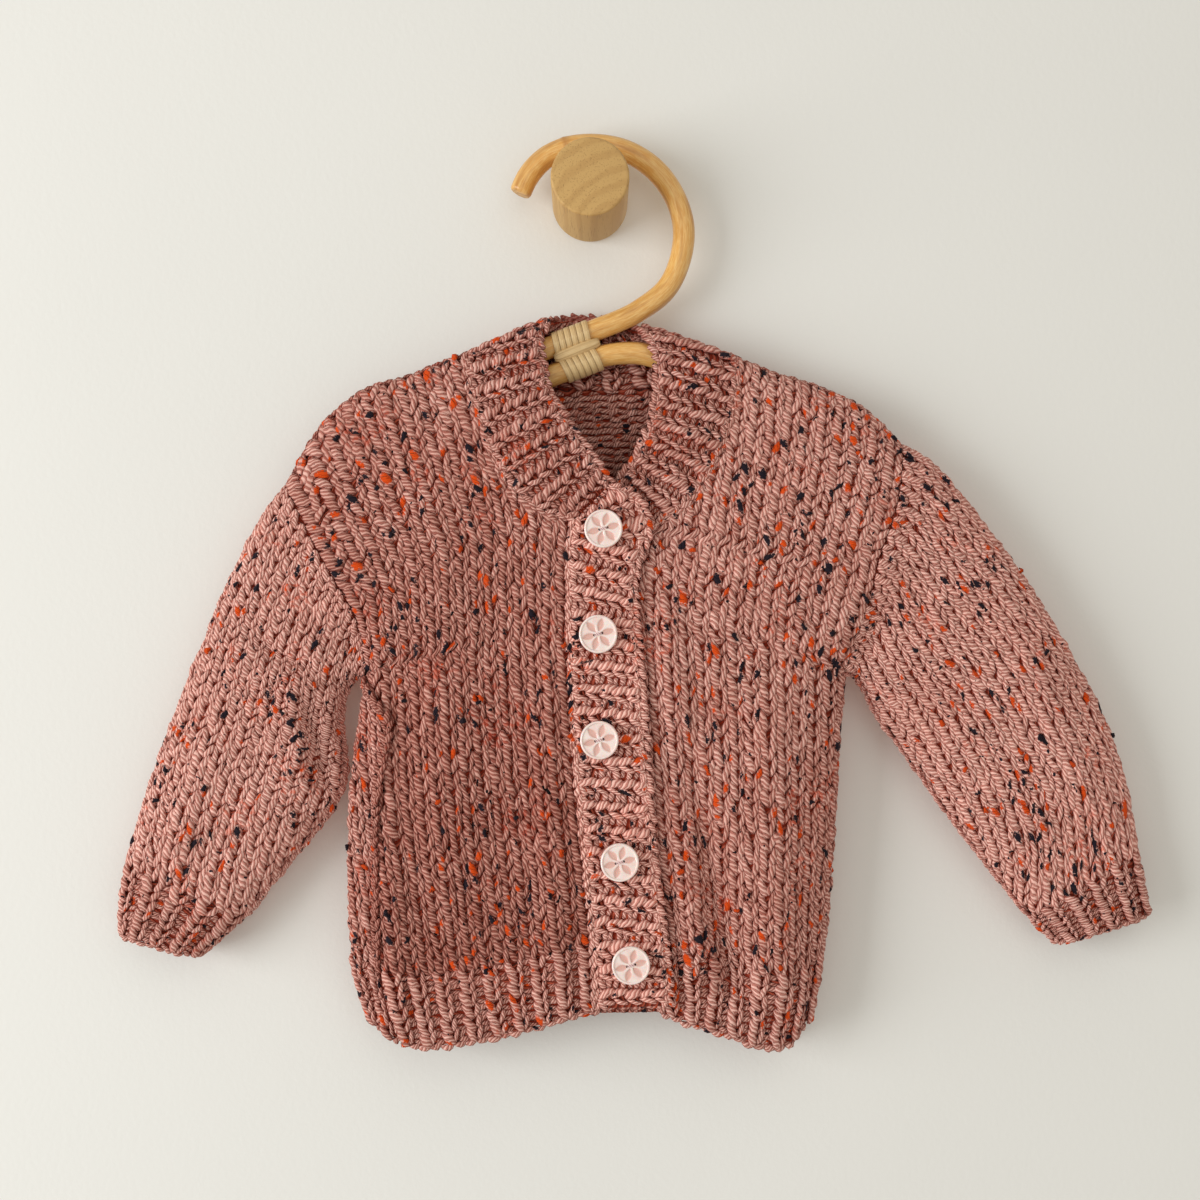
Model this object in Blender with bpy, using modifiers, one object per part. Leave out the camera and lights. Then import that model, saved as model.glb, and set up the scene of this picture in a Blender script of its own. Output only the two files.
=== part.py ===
"""Baby cardigan, hand-knitted in chunky yarn, on a cane hanger that hangs from a round wooden wall peg.

Units are metres. The origin is the centre of the peg's flat back face, on the wall. +X runs along the wall, to
the wearer's left, +Z is up, and the part stands out from the wall towards -Y, so the depth of a point is -Y.

The cloth is one surface, cut into panels. A body row runs round the garment: run 0 to 1 is the front, from the
wearer's right edge to the left one, and run -1 to 0 is the back, the other way. A sleeve ring runs down the front
and up the back in the same way. Rows are counted in knitted rows, from the hem up, or from the armhole to the cuff.
"""

import math
from collections import namedtuple

import bmesh
import bpy
import numpy as np

# ---- driving sizes -------------------------------------------------------------------------------------------
WALL = 0.003  # thickness of the knitted cloth
SEAM_GAP = 0.00035  # clearance between sewn pieces, and between anything and its seat
RIB_HEIGHT = 0.0011  # relief of a rib over the plain wall
RIB_PITCH = 0.0106  # one knit and one purl column
SAMPLES_PER_RIB = 4
ROW_HEIGHT = 0.0056  # one knitted row

HEM_TOP_ROW = 5.5
UNDERARM_ROW = 28.0
SHOULDER_ROW = 50.0
CUFF_TOP_ROW = 31.5
CUFF_END_ROW = 37.0

SIDE_ROUNDING = 0.055  # how far in from the side the front still curves
SHOULDER_ROUNDING = 0.014
EDGE_POWER = 2.4
ARMHOLE_OPENING = 1.2  # how quickly the armhole widens above the underarm
SLEEVE_ROUNDING = 0.42  # share of the sleeve's width that curves at each edge
SLEEVE_POWER = 2.2
SIDE_SEAM_RUN = 0.065  # the back wraps this far round the wearer's right side
SIDE_SEAM_TURN_ROW = 23.0  # above this row the side seam turns to the underarm

LAP_LIFT = 0.0023  # the buttonhole band stands this far forward, and the button band as far back
LAP_REACH = 0.022
LAP_FADE_LOW = -0.150  # heights between which the overlap dies away round the neck
LAP_FADE_HIGH = -0.115
NECKBAND_CROWN = 0.0015
CROWN_FADE = 0.15  # share of the neckband over which its crown rises from each end

BUTTON_RADIUS = 0.0085
BUTTON_THICKNESS = 0.0028
BUTTON_RIM = 0.0012
BUTTON_DISH = 0.0007
BUTTON_HOLE_RADIUS = 0.0011
BUTTON_HOLE_OFFSET = 0.0021
BUTTON_HOLE_TURN = math.radians(12.0)

CANE_RADIUS = 0.005
CANE_DEPTH = 0.013  # of the centre of both canes, from the wall
PEG_RADIUS = 0.0174
PEG_LENGTH = 0.040
PEG_EDGE = 0.0012
BINDING_LENGTH = 0.0175
BINDING_WALL = 0.0013
BINDING_WRAPS = 7
BINDING_GROOVE = 0.0006

# ---- tables of the cut ---------------------------------------------------------------------------------------
ACROSS = (-1, -0.9, -0.8, -0.6, -0.4, -0.2, 0, 0.2, 0.4, 0.6, 0.8, 0.9, 1)
RowLine = namedtuple("RowLine", "row heights")  # heights at each place in ACROSS
ROW_LINES = (
    RowLine(0.0, (-0.3760, -0.3820, -0.3850, -0.3838, -0.3800, -0.3750, -0.3690, -0.3670, -0.3735, -0.3795,
                  -0.3858, -0.3850, -0.3735)),
    RowLine(5.5, (-0.3460, -0.3510, -0.3530, -0.3525, -0.3495, -0.3450, -0.3395, -0.3375, -0.3430, -0.3485,
                  -0.3535, -0.3520, -0.3440)),
    RowLine(12.0, (-0.3100, -0.3140, -0.3155, -0.3150, -0.3120, -0.3085, -0.3050, -0.3050, -0.3080, -0.3120,
                   -0.3155, -0.3140, -0.3090)),
    RowLine(28.0, (-0.2178, -0.2148, -0.2122, -0.2070, -0.2028, -0.2000, -0.1990, -0.1995, -0.2020, -0.2060,
                   -0.2108, -0.2134, -0.2160)),
    RowLine(50.0, (-0.1330, -0.1083, -0.0947, -0.0836, -0.0728, -0.0660, -0.0630, -0.0650, -0.0722, -0.0828,
                   -0.0925, -0.1003, -0.1150)),
)

SideEdge = namedtuple("SideEdge", "row right left")  # x of the wearer's right and left sides
SIDE_EDGES = (
    SideEdge(0.0, -0.0986, 0.0995),
    SideEdge(3.0, -0.1040, 0.1030),
    SideEdge(5.5, -0.1068, 0.1050),
    SideEdge(12.0, -0.1083, 0.1083),
    SideEdge(18.0, -0.1076, 0.1105),
    SideEdge(23.0, -0.1045, 0.1122),
    SideEdge(28.0, -0.1005, 0.1149),
    SideEdge(31.0, -0.1014, 0.1188),
    SideEdge(35.0, -0.1060, 0.1250),
    SideEdge(39.0, -0.1150, 0.1296),
    SideEdge(43.0, -0.1240, 0.1365),
    SideEdge(47.0, -0.1318, 0.1399),
    SideEdge(50.0, -0.1373, 0.1407),
)

Girth = namedtuple("Girth", "row middle half")  # depth of the side edge, and half the depth from front to back
GIRTHS = (
    Girth(0.0, 0.0165, 0.0125),
    Girth(12.0, 0.0180, 0.0140),
    Girth(28.0, 0.0185, 0.0145),
    Girth(38.0, 0.0170, 0.0130),
    Girth(46.0, 0.0145, 0.0105),
    Girth(50.0, 0.0130, 0.0090),
)

SleeveRing = namedtuple("SleeveRing", "row outer inner middle half")  # outer and inner edge as (x, z)
SLEEVE_RIGHT = (
    SleeveRing(2.5, (-0.1455, -0.1435), (-0.1070, -0.2190), 0.0150, 0.0110),
    SleeveRing(5.0, (-0.1530, -0.1570), (-0.1124, -0.2258), 0.0155, 0.0118),
    SleeveRing(8.0, (-0.1610, -0.1735), (-0.1148, -0.2365), 0.0158, 0.0120),
    SleeveRing(12.0, (-0.1702, -0.1942), (-0.1142, -0.2495), 0.0158, 0.0120),
    SleeveRing(16.0, (-0.1790, -0.2155), (-0.1128, -0.2615), 0.0156, 0.0118),
    SleeveRing(20.0, (-0.1878, -0.2378), (-0.1162, -0.2748), 0.0152, 0.0114),
    SleeveRing(24.0, (-0.1962, -0.2605), (-0.1275, -0.2900), 0.0148, 0.0110),
    SleeveRing(28.0, (-0.2038, -0.2835), (-0.1435, -0.3090), 0.0143, 0.0104),
    SleeveRing(31.5, (-0.2100, -0.3055), (-0.1590, -0.3285), 0.0138, 0.0098),
    SleeveRing(37.0, (-0.2139, -0.3360), (-0.1786, -0.3464), 0.0136, 0.0096),
)
SLEEVE_LEFT = (
    SleeveRing(2.5, (0.1535, -0.1220), (0.1212, -0.2183), 0.0150, 0.0110),
    SleeveRing(5.0, (0.1645, -0.1340), (0.1270, -0.2262), 0.0155, 0.0118),
    SleeveRing(8.0, (0.1770, -0.1492), (0.1335, -0.2385), 0.0158, 0.0120),
    SleeveRing(12.0, (0.1920, -0.1692), (0.1445, -0.2530), 0.0158, 0.0120),
    SleeveRing(16.0, (0.2065, -0.1910), (0.1560, -0.2690), 0.0156, 0.0118),
    SleeveRing(20.0, (0.2200, -0.2145), (0.1675, -0.2850), 0.0152, 0.0114),
    SleeveRing(24.0, (0.2325, -0.2385), (0.1790, -0.3000), 0.0148, 0.0110),
    SleeveRing(28.0, (0.2425, -0.2670), (0.1905, -0.3140), 0.0143, 0.0104),
    SleeveRing(31.5, (0.2486, -0.2990), (0.2015, -0.3275), 0.0138, 0.0098),
    SleeveRing(37.0, (0.2536, -0.3270), (0.2140, -0.3406), 0.0136, 0.0096),
)
CUFF_BLEND_ROWS = 7.0  # a sleeve has its own girth from this row on

# Cross lines of the strip that edges each front and the neck. Seam is where it is sewn on, edge is its free edge.
# The first is at the hem, and the last of a front band is the first of the neckband.
CrossLine = namedtuple("CrossLine", "seam edge")
BUTTONHOLE_LINES = (
    CrossLine((0.0045, -0.3695), (0.0350, -0.3668)),
    CrossLine((0.0036, -0.3450), (0.0335, -0.3450)),
    CrossLine((-0.0009, -0.3020), (0.0281, -0.3040)),
    CrossLine((-0.0059, -0.2480), (0.0240, -0.2510)),
    CrossLine((-0.0082, -0.2050), (0.0210, -0.2100)),
    CrossLine((-0.0086, -0.1750), (0.0192, -0.1840)),
    CrossLine((-0.0080, -0.1615), (0.0205, -0.1700)),
    CrossLine((-0.0070, -0.1550), (0.0253, -0.1555)),
    CrossLine((-0.0062, -0.1520), (0.0215, -0.1425)),
    CrossLine((-0.0054, -0.1501), (0.0086, -0.1351)),
)
BUTTON_LINES = (
    CrossLine((0.0320, -0.3715), (0.0015, -0.3710)),
    CrossLine((0.0305, -0.3450), (0.0006, -0.3450)),
    CrossLine((0.0251, -0.3040), (-0.0039, -0.3030)),
    CrossLine((0.0210, -0.2510), (-0.0089, -0.2490)),
    CrossLine((0.0183, -0.2100), (-0.0112, -0.2060)),
    CrossLine((0.0168, -0.1840), (-0.0116, -0.1780)),
    CrossLine((0.0175, -0.1700), (-0.0116, -0.1630)),
    CrossLine((0.0190, -0.1635), (-0.0110, -0.1505)),
    CrossLine((0.0200, -0.1600), (-0.0030, -0.1405)),
    CrossLine((0.0213, -0.1570), (0.0086, -0.1365)),
)
NeckLine = namedtuple("NeckLine", "seam edge edge_depth")
NECK_FRONT_RIGHT = (
    NeckLine((-0.0054, -0.1501), (0.0086, -0.1351), 0.0335),
    NeckLine((-0.0181, -0.1478), (0.0045, -0.1283), 0.0325),
    NeckLine((-0.0294, -0.1415), (-0.0009, -0.1202), 0.0308),
    NeckLine((-0.0385, -0.1301), (-0.0077, -0.1111), 0.0290),
    NeckLine((-0.0448, -0.1152), (-0.0145, -0.1002), 0.0270),
    NeckLine((-0.0505, -0.1002), (-0.0196, -0.0894), 0.0248),
    NeckLine((-0.0538, -0.0866), (-0.0218, -0.0785), 0.0225),
    NeckLine((-0.0548, -0.0775), (-0.0236, -0.0695), 0.0208),
)
NECK_BACK = (
    NeckLine((-0.0544, -0.0735), (-0.0200, -0.0590), 0.0145),
    NeckLine((-0.0510, -0.0780), (-0.0175, -0.0565), 0.0085),
    NeckLine((-0.0330, -0.0850), (-0.0105, -0.0553), 0.0048),
    NeckLine((0.0060, -0.0890), (0.0050, -0.0552), 0.0042),
    NeckLine((0.0440, -0.0860), (0.0155, -0.0580), 0.0048),
    NeckLine((0.0610, -0.0795), (0.0200, -0.0600), 0.0080),
    NeckLine((0.0650, -0.0755), (0.0240, -0.0620), 0.0130),
)
NECK_FRONT_LEFT = (
    NeckLine((0.0658, -0.0800), (0.0285, -0.0690), 0.0200),
    NeckLine((0.0656, -0.0880), (0.0312, -0.0780), 0.0228),
    NeckLine((0.0636, -0.1002), (0.0304, -0.0915), 0.0250),
    NeckLine((0.0598, -0.1129), (0.0290, -0.1030), 0.0265),
    NeckLine((0.0544, -0.1256), (0.0258, -0.1125), 0.0272),
    NeckLine((0.0476, -0.1370), (0.0217, -0.1211), 0.0273),
    NeckLine((0.0399, -0.1460), (0.0172, -0.1279), 0.0269),
    NeckLine((0.0294, -0.1523), (0.0131, -0.1324), 0.0265),
    NeckLine((0.0213, -0.1570), (0.0086, -0.1365), 0.0262),
)

Fold = namedtuple("Fold", "start end width height")  # a ridge, or a trough where height is negative
FRONT_FOLDS = (
    Fold((-0.0960, -0.2150), (-0.0850, -0.3780), 0.0060, 0.0016),
    Fold((-0.0975, -0.2300), (-0.0950, -0.3700), 0.0045, -0.0014),
    Fold((-0.0190, -0.2250), (-0.0150, -0.3600), 0.0060, 0.0013),
    Fold((0.0330, -0.1900), (0.0500, -0.3600), 0.0065, 0.0018),
    Fold((0.0400, -0.2500), (0.0660, -0.3650), 0.0075, -0.0022),
    Fold((0.0800, -0.2300), (0.0840, -0.3700), 0.0100, 0.0018),
    Fold((-0.0700, -0.1300), (-0.0620, -0.3200), 0.0120, 0.0010),
    Fold((-0.1040, -0.1950), (-0.1010, -0.2150), 0.0045, -0.0030),
    Fold((0.1180, -0.2120), (0.1310, -0.1850), 0.0060, -0.0030),
    Fold((-0.1280, -0.2350), (-0.1200, -0.2700), 0.0050, -0.0022),
    Fold((-0.1350, -0.2250), (-0.1290, -0.2650), 0.0050, 0.0014),
    Fold((-0.1230, -0.2180), (-0.1500, -0.2050), 0.0050, -0.0018),
    Fold((0.1400, -0.2250), (0.1750, -0.2300), 0.0070, -0.0016),
    Fold((0.1950, -0.2050), (0.2230, -0.2800), 0.0100, 0.0012),
    Fold((-0.1720, -0.2500), (-0.1900, -0.3050), 0.0090, 0.0010),
)
BACK_FOLDS = (
    Fold((-0.0600, -0.2300), (-0.0500, -0.3700), 0.0090, 0.0012),
    Fold((0.0550, -0.2200), (0.0480, -0.3600), 0.0100, 0.0014),
    Fold((0.0000, -0.1500), (0.0050, -0.2800), 0.0120, 0.0010),
)
FOLD_END = 0.018  # a fold dies away over this length at each end

BUTTON_PLACES = ((0.0059, -0.1551), (0.0036, -0.2017), (0.0041, -0.2484), (0.0131, -0.3023), (0.0181, -0.3480))

HOOK_ROUTE = (  # centre line (x, z), from the cut end over the peg and down towards the binding
    (-0.0321, 0.0010), (-0.0285, 0.0085), (-0.0197, 0.0178), (-0.0095, 0.0221), (0.0010, 0.0231),
    (0.0160, 0.0206), (0.0298, 0.0118), (0.0390, -0.0010), (0.0428, -0.0141), (0.0415, -0.0283),
    (0.0350, -0.0425), (0.0225, -0.0525),
)
HOOK_TAIL = 0.006  # of the hook beyond the binding
BOW_RIGHT_ROUTE = ((-0.0540, -0.0905), (-0.0360, -0.0875), (-0.0240, -0.0848))
BOW_LEFT_ROUTE = ((0.0130, -0.0722), (0.0230, -0.0722), (0.0330, -0.0748), (0.0470, -0.0800))
BOW_SEATS_RIGHT = (-0.86, -0.80, -0.72)  # places across where the bow runs close under the shoulder
BOW_SEATS_LEFT = (0.58, 0.66, 0.74, 0.82, 0.89)
BOW_CLEARANCE = 0.0008
BINDING_CENTRE = (-0.0064, -0.0715)
BINDING_SLOPE = math.radians(21.0)
CANE_SPACING = 0.0124

# ---- mesh rows and columns of the panels ---------------------------------------------------------------------
LOWER_ROWS = (HEM_TOP_ROW, 9.0, 12.5, 16.0, 19.5, 22.5, 25.0, 26.8)
ARMHOLE_ROWS = (28.0, 28.1, 28.35, 28.9, 30.0, 32.0, 34.8, 35.9, 38.5, 41.5, 44.5, 47.0, 48.6, 49.4, 49.85, 50.0)
PANEL_ROWS = np.array(LOWER_ROWS + ARMHOLE_ROWS)
HEM_ROWS = np.array((HEM_TOP_ROW, 2.6, 0.0))
SLEEVE_ROWS = np.array((0.0, 1.2, 2.5, 4.2, 6.2, 8.6, 12.0, 16.0, 20.0, 24.0, 28.0, CUFF_TOP_ROW))
CUFF_ROWS = np.array((CUFF_TOP_ROW, 34.3, CUFF_END_ROW))
FRONT_COLUMNS = 9
FRONT_SPREAD = 1.35  # columns crowd towards the side, where the cloth turns
SHOULDER_COLUMNS = 6  # of the back, on each side of the neck
SHOULDER_SPREAD = 1.45
NECK_SHARES = (0.035, 0.075, 0.125, 0.21, 0.34, 0.5, 0.66, 0.79, 0.87, 0.91, 0.94, 0.97, 1.0)  # of its columns
WRAP_COLUMNS = 3
CORNER_RIGHT = -0.405  # places across where the shoulder seams meet the neckband
CORNER_LEFT = 0.453
BACK_NECK_ROW = 38.0  # above this row the back's rows give way to the neck
STRIP_ROWS = 3
STRIP_DRAW = 0.0004  # how far a strip is drawn in from its seam, which turns sharply at the neck's corners
WELD = 1e-5
MOST_DRAWN_IN = 0.45  # of a face's width
FINE = 400  # samples of a curve that is measured
CANE_STEP = 0.0085
PEG_SIDES = 32
BUTTON_STEPS = 18
BUTTON_HOLE_SIDES = 8
BINDING_CORNER_STEPS = 6
SHARP = math.radians(50)

Finish = namedtuple("Finish", "name colour roughness")
KNIT = Finish("Dusty pink tweed knit", (0.60, 0.32, 0.27), 0.95)
RIB = Finish("Dusty pink tweed rib", (0.56, 0.29, 0.25), 0.95)
PEARL = Finish("Pearly pink button", (0.86, 0.66, 0.60), 0.30)
CANE = Finish("Golden cane", (0.72, 0.44, 0.16), 0.45)
SPLIT_CANE = Finish("Pale split cane", (0.62, 0.46, 0.24), 0.60)
BEECH = Finish("Pale turned wood", (0.66, 0.47, 0.28), 0.60)


# ---- curves --------------------------------------------------------------------------------------------------
def through(at, knots, values):
    """Values on a smooth curve through the knots, one knot for each value (or row of values)."""
    knots = np.asarray(knots, float)
    values = np.asarray(values, float)
    at = np.clip(np.asarray(at, float), knots[0], knots[-1])
    slopes = np.gradient(values, knots, axis=0)
    left = np.clip(np.searchsorted(knots, at, side="right") - 1, 0, len(knots) - 2)
    width = knots[left + 1] - knots[left]
    part = (at - knots[left]) / width
    if values.ndim > 1:
        width = width[..., None]
        part = part[..., None]
    rise = values[left + 1] - values[left]
    start = slopes[left] * width
    end = slopes[left + 1] * width
    return values[left] + part * start + part**2 * (3 * rise - 2 * start - end) + part**3 * (start + end - 2 * rise)


def column(table, name):
    """One named column of a table, as an array."""
    return np.array([getattr(row, name) for row in table], float)


def smooth_step(value):
    """0 below 0, 1 above 1, and a smooth rise between."""
    value = np.clip(value, 0.0, 1.0)
    return value * value * (3 - 2 * value)


def edge_curve(share, power):
    """Height of a rounded edge: 0 at the edge, with an upright tangent, and 1 from a share of 1 on."""
    return (1 - (1 - np.clip(share, 0.0, 1.0)) ** power) ** (1 / power)


def lengths_along(points):
    """Distance along a polyline at each of its points."""
    steps = np.linalg.norm(np.diff(points, axis=0), axis=1)
    return np.concatenate(([0.0], np.cumsum(steps)))


def on_polyline(points, at, marks):
    """Points of a polyline where its marks reach the given values, on the straight runs between its points."""
    return np.stack([np.interp(at, marks, points[:, axis]) for axis in range(3)], axis=1)


# ---- the cloth's surface -------------------------------------------------------------------------------------
def row_height(across, row):
    """Height of the cloth at a place across and a row, seen from the front."""
    heights = np.stack([through(across, ACROSS, line.heights) for line in ROW_LINES])
    marks = column(ROW_LINES, "row")
    row = np.broadcast_to(row, np.shape(across))
    low = np.clip(np.searchsorted(marks, row, side="right") - 1, 0, len(marks) - 2)
    part = (row - marks[low]) / (marks[low + 1] - marks[low])
    below = np.take_along_axis(heights, low[None], axis=0)[0]
    above = np.take_along_axis(heights, low[None] + 1, axis=0)[0]
    return below + part * (above - below)


def side_edges(row):
    """x of both sides at a row."""
    marks = column(SIDE_EDGES, "row")
    return through(row, marks, column(SIDE_EDGES, "right")), through(row, marks, column(SIDE_EDGES, "left"))


def fold_depth(x, z, folds):
    """Sum of the folds' relief at places seen from the front."""
    total = np.zeros(np.shape(x))
    for fold in folds:
        start = np.array(fold.start)
        along = np.array(fold.end) - start
        length = np.hypot(*along)
        along = along / length
        reach = (x - start[0]) * along[0] + (z - start[1]) * along[1]
        aside = (x - start[0]) * along[1] - (z - start[1]) * along[0]
        ends = smooth_step(reach / FOLD_END + 0.5) * smooth_step((length - reach) / FOLD_END + 0.5)
        total = total + fold.height * ends * np.exp(-((aside / fold.width) ** 2))
    return total


def lap_fade(z):
    """How much of the overlap of the front bands is left at a height."""
    return 1 - smooth_step((z - LAP_FADE_LOW) / (LAP_FADE_HIGH - LAP_FADE_LOW))


def lap_depth(x, z):
    """How far a front stands forward (wearer's right) or back (left) towards the overlap of the bands."""
    right_seam = np.array([line.seam for line in BUTTONHOLE_LINES])
    left_seam = np.array([line.seam for line in BUTTON_LINES])
    right_x = np.interp(z, right_seam[:, 1], right_seam[:, 0])
    left_x = np.interp(z, left_seam[:, 1], left_seam[:, 0])
    to_right = np.clip(right_x - x, 0, None)
    to_left = np.clip(x - left_x, 0, None)
    lift = np.where(x < (right_x + left_x) / 2, np.exp(-((to_right / LAP_REACH) ** 2)),
                    -np.exp(-((to_left / LAP_REACH) ** 2)))
    return LAP_LIFT * lift * lap_fade(z)


def body_girth(across, row, x, z):
    """Middle depth and half depth of the body at a place across and a row."""
    marks = column(GIRTHS, "row")
    middle = through(row, marks, column(GIRTHS, "middle"))
    half = through(row, marks, column(GIRTHS, "half"))
    right_x, left_x = side_edges(row)
    opening = np.clip(row - UNDERARM_ROW, 0, None) * ROW_HEIGHT * ARMHOLE_OPENING
    right = edge_curve((x - right_x + opening) / SIDE_ROUNDING, EDGE_POWER)
    left = edge_curve((left_x - x + opening) / SIDE_ROUNDING, EDGE_POWER)
    top = edge_curve((row_height(across, SHOULDER_ROW) - z) / SHOULDER_ROUNDING, EDGE_POWER)
    return middle, half * right * left * top, half


def body_point(run, row, lapped=True):
    """Point of the body's surface at a run round the garment and a row. A run of -0.0 is on the back."""
    run, row = np.broadcast_arrays(np.asarray(run, float), np.asarray(row, float))
    across = 2 * np.abs(run) - 1
    right_x, left_x = side_edges(row)
    x = right_x + (across + 1) / 2 * (left_x - right_x)
    z = row_height(across, row)
    middle, half, full = body_girth(across, row, x, z)
    settled = np.clip(2 * half / full, 0, 1)
    lap = lap_depth(x, z) if lapped else 0.0
    front = middle + half + settled * (fold_depth(x, z, FRONT_FOLDS) + lap)
    back = middle - half + settled * fold_depth(x, z, BACK_FOLDS)
    return np.stack([x, -np.where(np.signbit(run), back, front), z], axis=-1)


def cloth_place(x, z):
    """Place across and row of the cloth at a place seen from the front."""
    x, z = np.broadcast_arrays(np.asarray(x, float), np.asarray(z, float))
    marks = np.linspace(0, SHOULDER_ROW, 201)
    row = np.full(x.shape, UNDERARM_ROW)
    across = np.zeros(x.shape)
    for _ in range(6):
        right_x, left_x = side_edges(row)
        across = 2 * (x - right_x) / (left_x - right_x) - 1
        for index in np.ndindex(x.shape):
            heights = row_height(np.full(marks.shape, across[index]), marks)
            row[index] = np.interp(z[index], heights, marks)
    return across, row


def front_depth(x, z):
    """Depth of the front, without the overlap, at places seen from the front."""
    across, row = cloth_place(x, z)
    return -body_point((across + 1) / 2, row, lapped=False)[..., 1]


# ---- sleeves -------------------------------------------------------------------------------------------------
RING_ROWS = np.array(ARMHOLE_ROWS)[::-1]  # armhole rows met on the way down the front of the ring
HALF_RING = len(RING_ROWS) - 1
RING_SHARES = (SHOULDER_ROW - RING_ROWS) / (SHOULDER_ROW - UNDERARM_ROW)


def sleeve_point(rings, run, place, row):
    """Point of a sleeve. place counts the armhole's points round the ring, down the front and up the back."""
    place, row = np.broadcast_arrays(np.asarray(place, float), np.asarray(row, float))
    on_front = place <= HALF_RING
    along = np.where(on_front, place, 2 * HALF_RING - place)
    share = np.interp(along, np.arange(HALF_RING + 1), RING_SHARES)
    body_row = SHOULDER_ROW - share * (SHOULDER_ROW - UNDERARM_ROW)
    side = float(run)
    armhole_front = body_point(np.full(place.shape, side), body_row)
    armhole_back = body_point(np.full(place.shape, -side), body_row)
    tip = body_point(side, SHOULDER_ROW)
    pit = body_point(side, UNDERARM_ROW)
    marks = np.concatenate(([0.0], column(rings, "row")))
    outer = through(row, marks, np.array([tip[[0, 2]]] + [ring.outer for ring in rings]))
    inner = through(row, marks, np.array([pit[[0, 2]]] + [ring.inner for ring in rings]))
    middle = through(row, marks, np.concatenate(([GIRTHS[-1].middle], column(rings, "middle"))))
    full = through(row, marks, np.concatenate(([GIRTHS[-1].half], column(rings, "half"))))
    seen = outer + share[..., None] * (inner - outer)
    straight = tip[[0, 2]] + share[..., None] * (pit[[0, 2]] - tip[[0, 2]])
    bend = 1 - smooth_step(row / (CUFF_BLEND_ROWS + 3))
    seen = seen + bend[..., None] * (armhole_front[..., [0, 2]] - straight)
    half = full * edge_curve(np.minimum(share, 1 - share) / SLEEVE_ROUNDING, SLEEVE_POWER)
    folds = np.where(on_front, fold_depth(seen[..., 0], seen[..., 1], FRONT_FOLDS), 0.0)
    own = middle + np.where(on_front, half, -half) + np.clip(2 * half / full, 0, 1) * folds
    start = -np.where(on_front, armhole_front[..., 1], armhole_back[..., 1])
    own_share = smooth_step(row / CUFF_BLEND_ROWS)
    depth = start + own_share * (own - start)
    return np.stack([seen[..., 0], -depth, seen[..., 1]], axis=-1)


# ---- panels as grids of points -------------------------------------------------------------------------------
def neck_limits(lines):
    """Rows, and places across, of a neck seam or front seam, from the bottom up."""
    seam = np.array([line.seam for line in lines])
    across, row = cloth_place(seam[:, 0], seam[:, 1])
    order = np.argsort(row)
    return row[order], across[order]


def front_seam_run(row, band_lines, neck_lines, on_right):
    """Run of a front's seam with its band and the neckband, at each row."""
    rows, limit = neck_limits(band_lines[:-1] + neck_lines)
    rows = np.concatenate((rows, [SHOULDER_ROW]))
    limit = np.concatenate((limit, [neck_corner(on_right)]))
    return (np.interp(row, rows, limit) + 1) / 2


def neck_corner(on_right):
    """Place across of the point where the shoulder seam meets the neckband."""
    return CORNER_RIGHT if on_right else CORNER_LEFT


def side_seam_run(row):
    """Run of the wearer's right side seam, which lies a little round the front."""
    turn = smooth_step((row - SIDE_SEAM_TURN_ROW) / (UNDERARM_ROW - SIDE_SEAM_TURN_ROW))
    return np.where(np.asarray(row) < UNDERARM_ROW, SIDE_SEAM_RUN * (1 - turn), 0.0)


def front_runs(row, on_right):
    """Runs of a front's columns at each row, from the side to the seam with the bands."""
    if on_right:
        side = side_seam_run(row)
        seam = front_seam_run(row, BUTTONHOLE_LINES, NECK_FRONT_RIGHT, True)
    else:
        side = np.ones(len(row))
        seam = front_seam_run(row, BUTTON_LINES, NECK_FRONT_LEFT, False)
    shares = np.linspace(0, 1, FRONT_COLUMNS + 1) ** FRONT_SPREAD
    return side[:, None] + shares * (seam - side)[:, None]


def back_runs(row):
    """Runs of the back's columns at each row, from the wearer's left side round to the right side seam."""
    left, right = -(CORNER_LEFT + 1) / 2, -(CORNER_RIGHT + 1) / 2
    spread = (np.arange(SHOULDER_COLUMNS + 1) / SHOULDER_COLUMNS) ** SHOULDER_SPREAD
    fine = SHOULDER_COLUMNS + WRAP_COLUMNS
    fine_spread = (np.arange(fine + 1) / fine) ** SHOULDER_SPREAD
    start = -1 + (left + 1) * spread
    neck = left + (right - left) * np.array(NECK_SHARES)
    wrap = SIDE_SEAM_RUN * (np.arange(1, WRAP_COLUMNS + 1) / WRAP_COLUMNS) ** SHOULDER_SPREAD
    wrapped = np.concatenate((start, neck, right * spread[::-1][1:], wrap))
    plain = np.concatenate((start, neck, right * fine_spread[::-1][1:]))
    turn = smooth_step((row - SIDE_SEAM_TURN_ROW) / (UNDERARM_ROW - SIDE_SEAM_TURN_ROW))[:, None]
    runs = (1 - turn) * wrapped + turn * plain
    runs[:, -1] = np.where(row < UNDERARM_ROW, side_seam_run(row), -0.0)
    return runs


def back_rows(runs):
    """Rows of the back's points. The top ones give way to the neck, between the shoulders."""
    neck_row, neck_across = neck_limits(NECK_BACK[1:-1])
    order = np.argsort(neck_across)
    known_across = np.concatenate(([CORNER_RIGHT], neck_across[order], [CORNER_LEFT]))
    known_row = np.concatenate(([SHOULDER_ROW], neck_row[order], [SHOULDER_ROW]))
    across = 2 * np.abs(runs) - 1
    limit = np.interp(across, known_across, known_row)
    rows = np.repeat(PANEL_ROWS[:, None], runs.shape[1], axis=1)
    share = np.clip((rows - BACK_NECK_ROW) / (SHOULDER_ROW - BACK_NECK_ROW), 0, None)
    return np.where(rows > BACK_NECK_ROW, BACK_NECK_ROW + share * (limit - BACK_NECK_ROW), rows)


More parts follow.
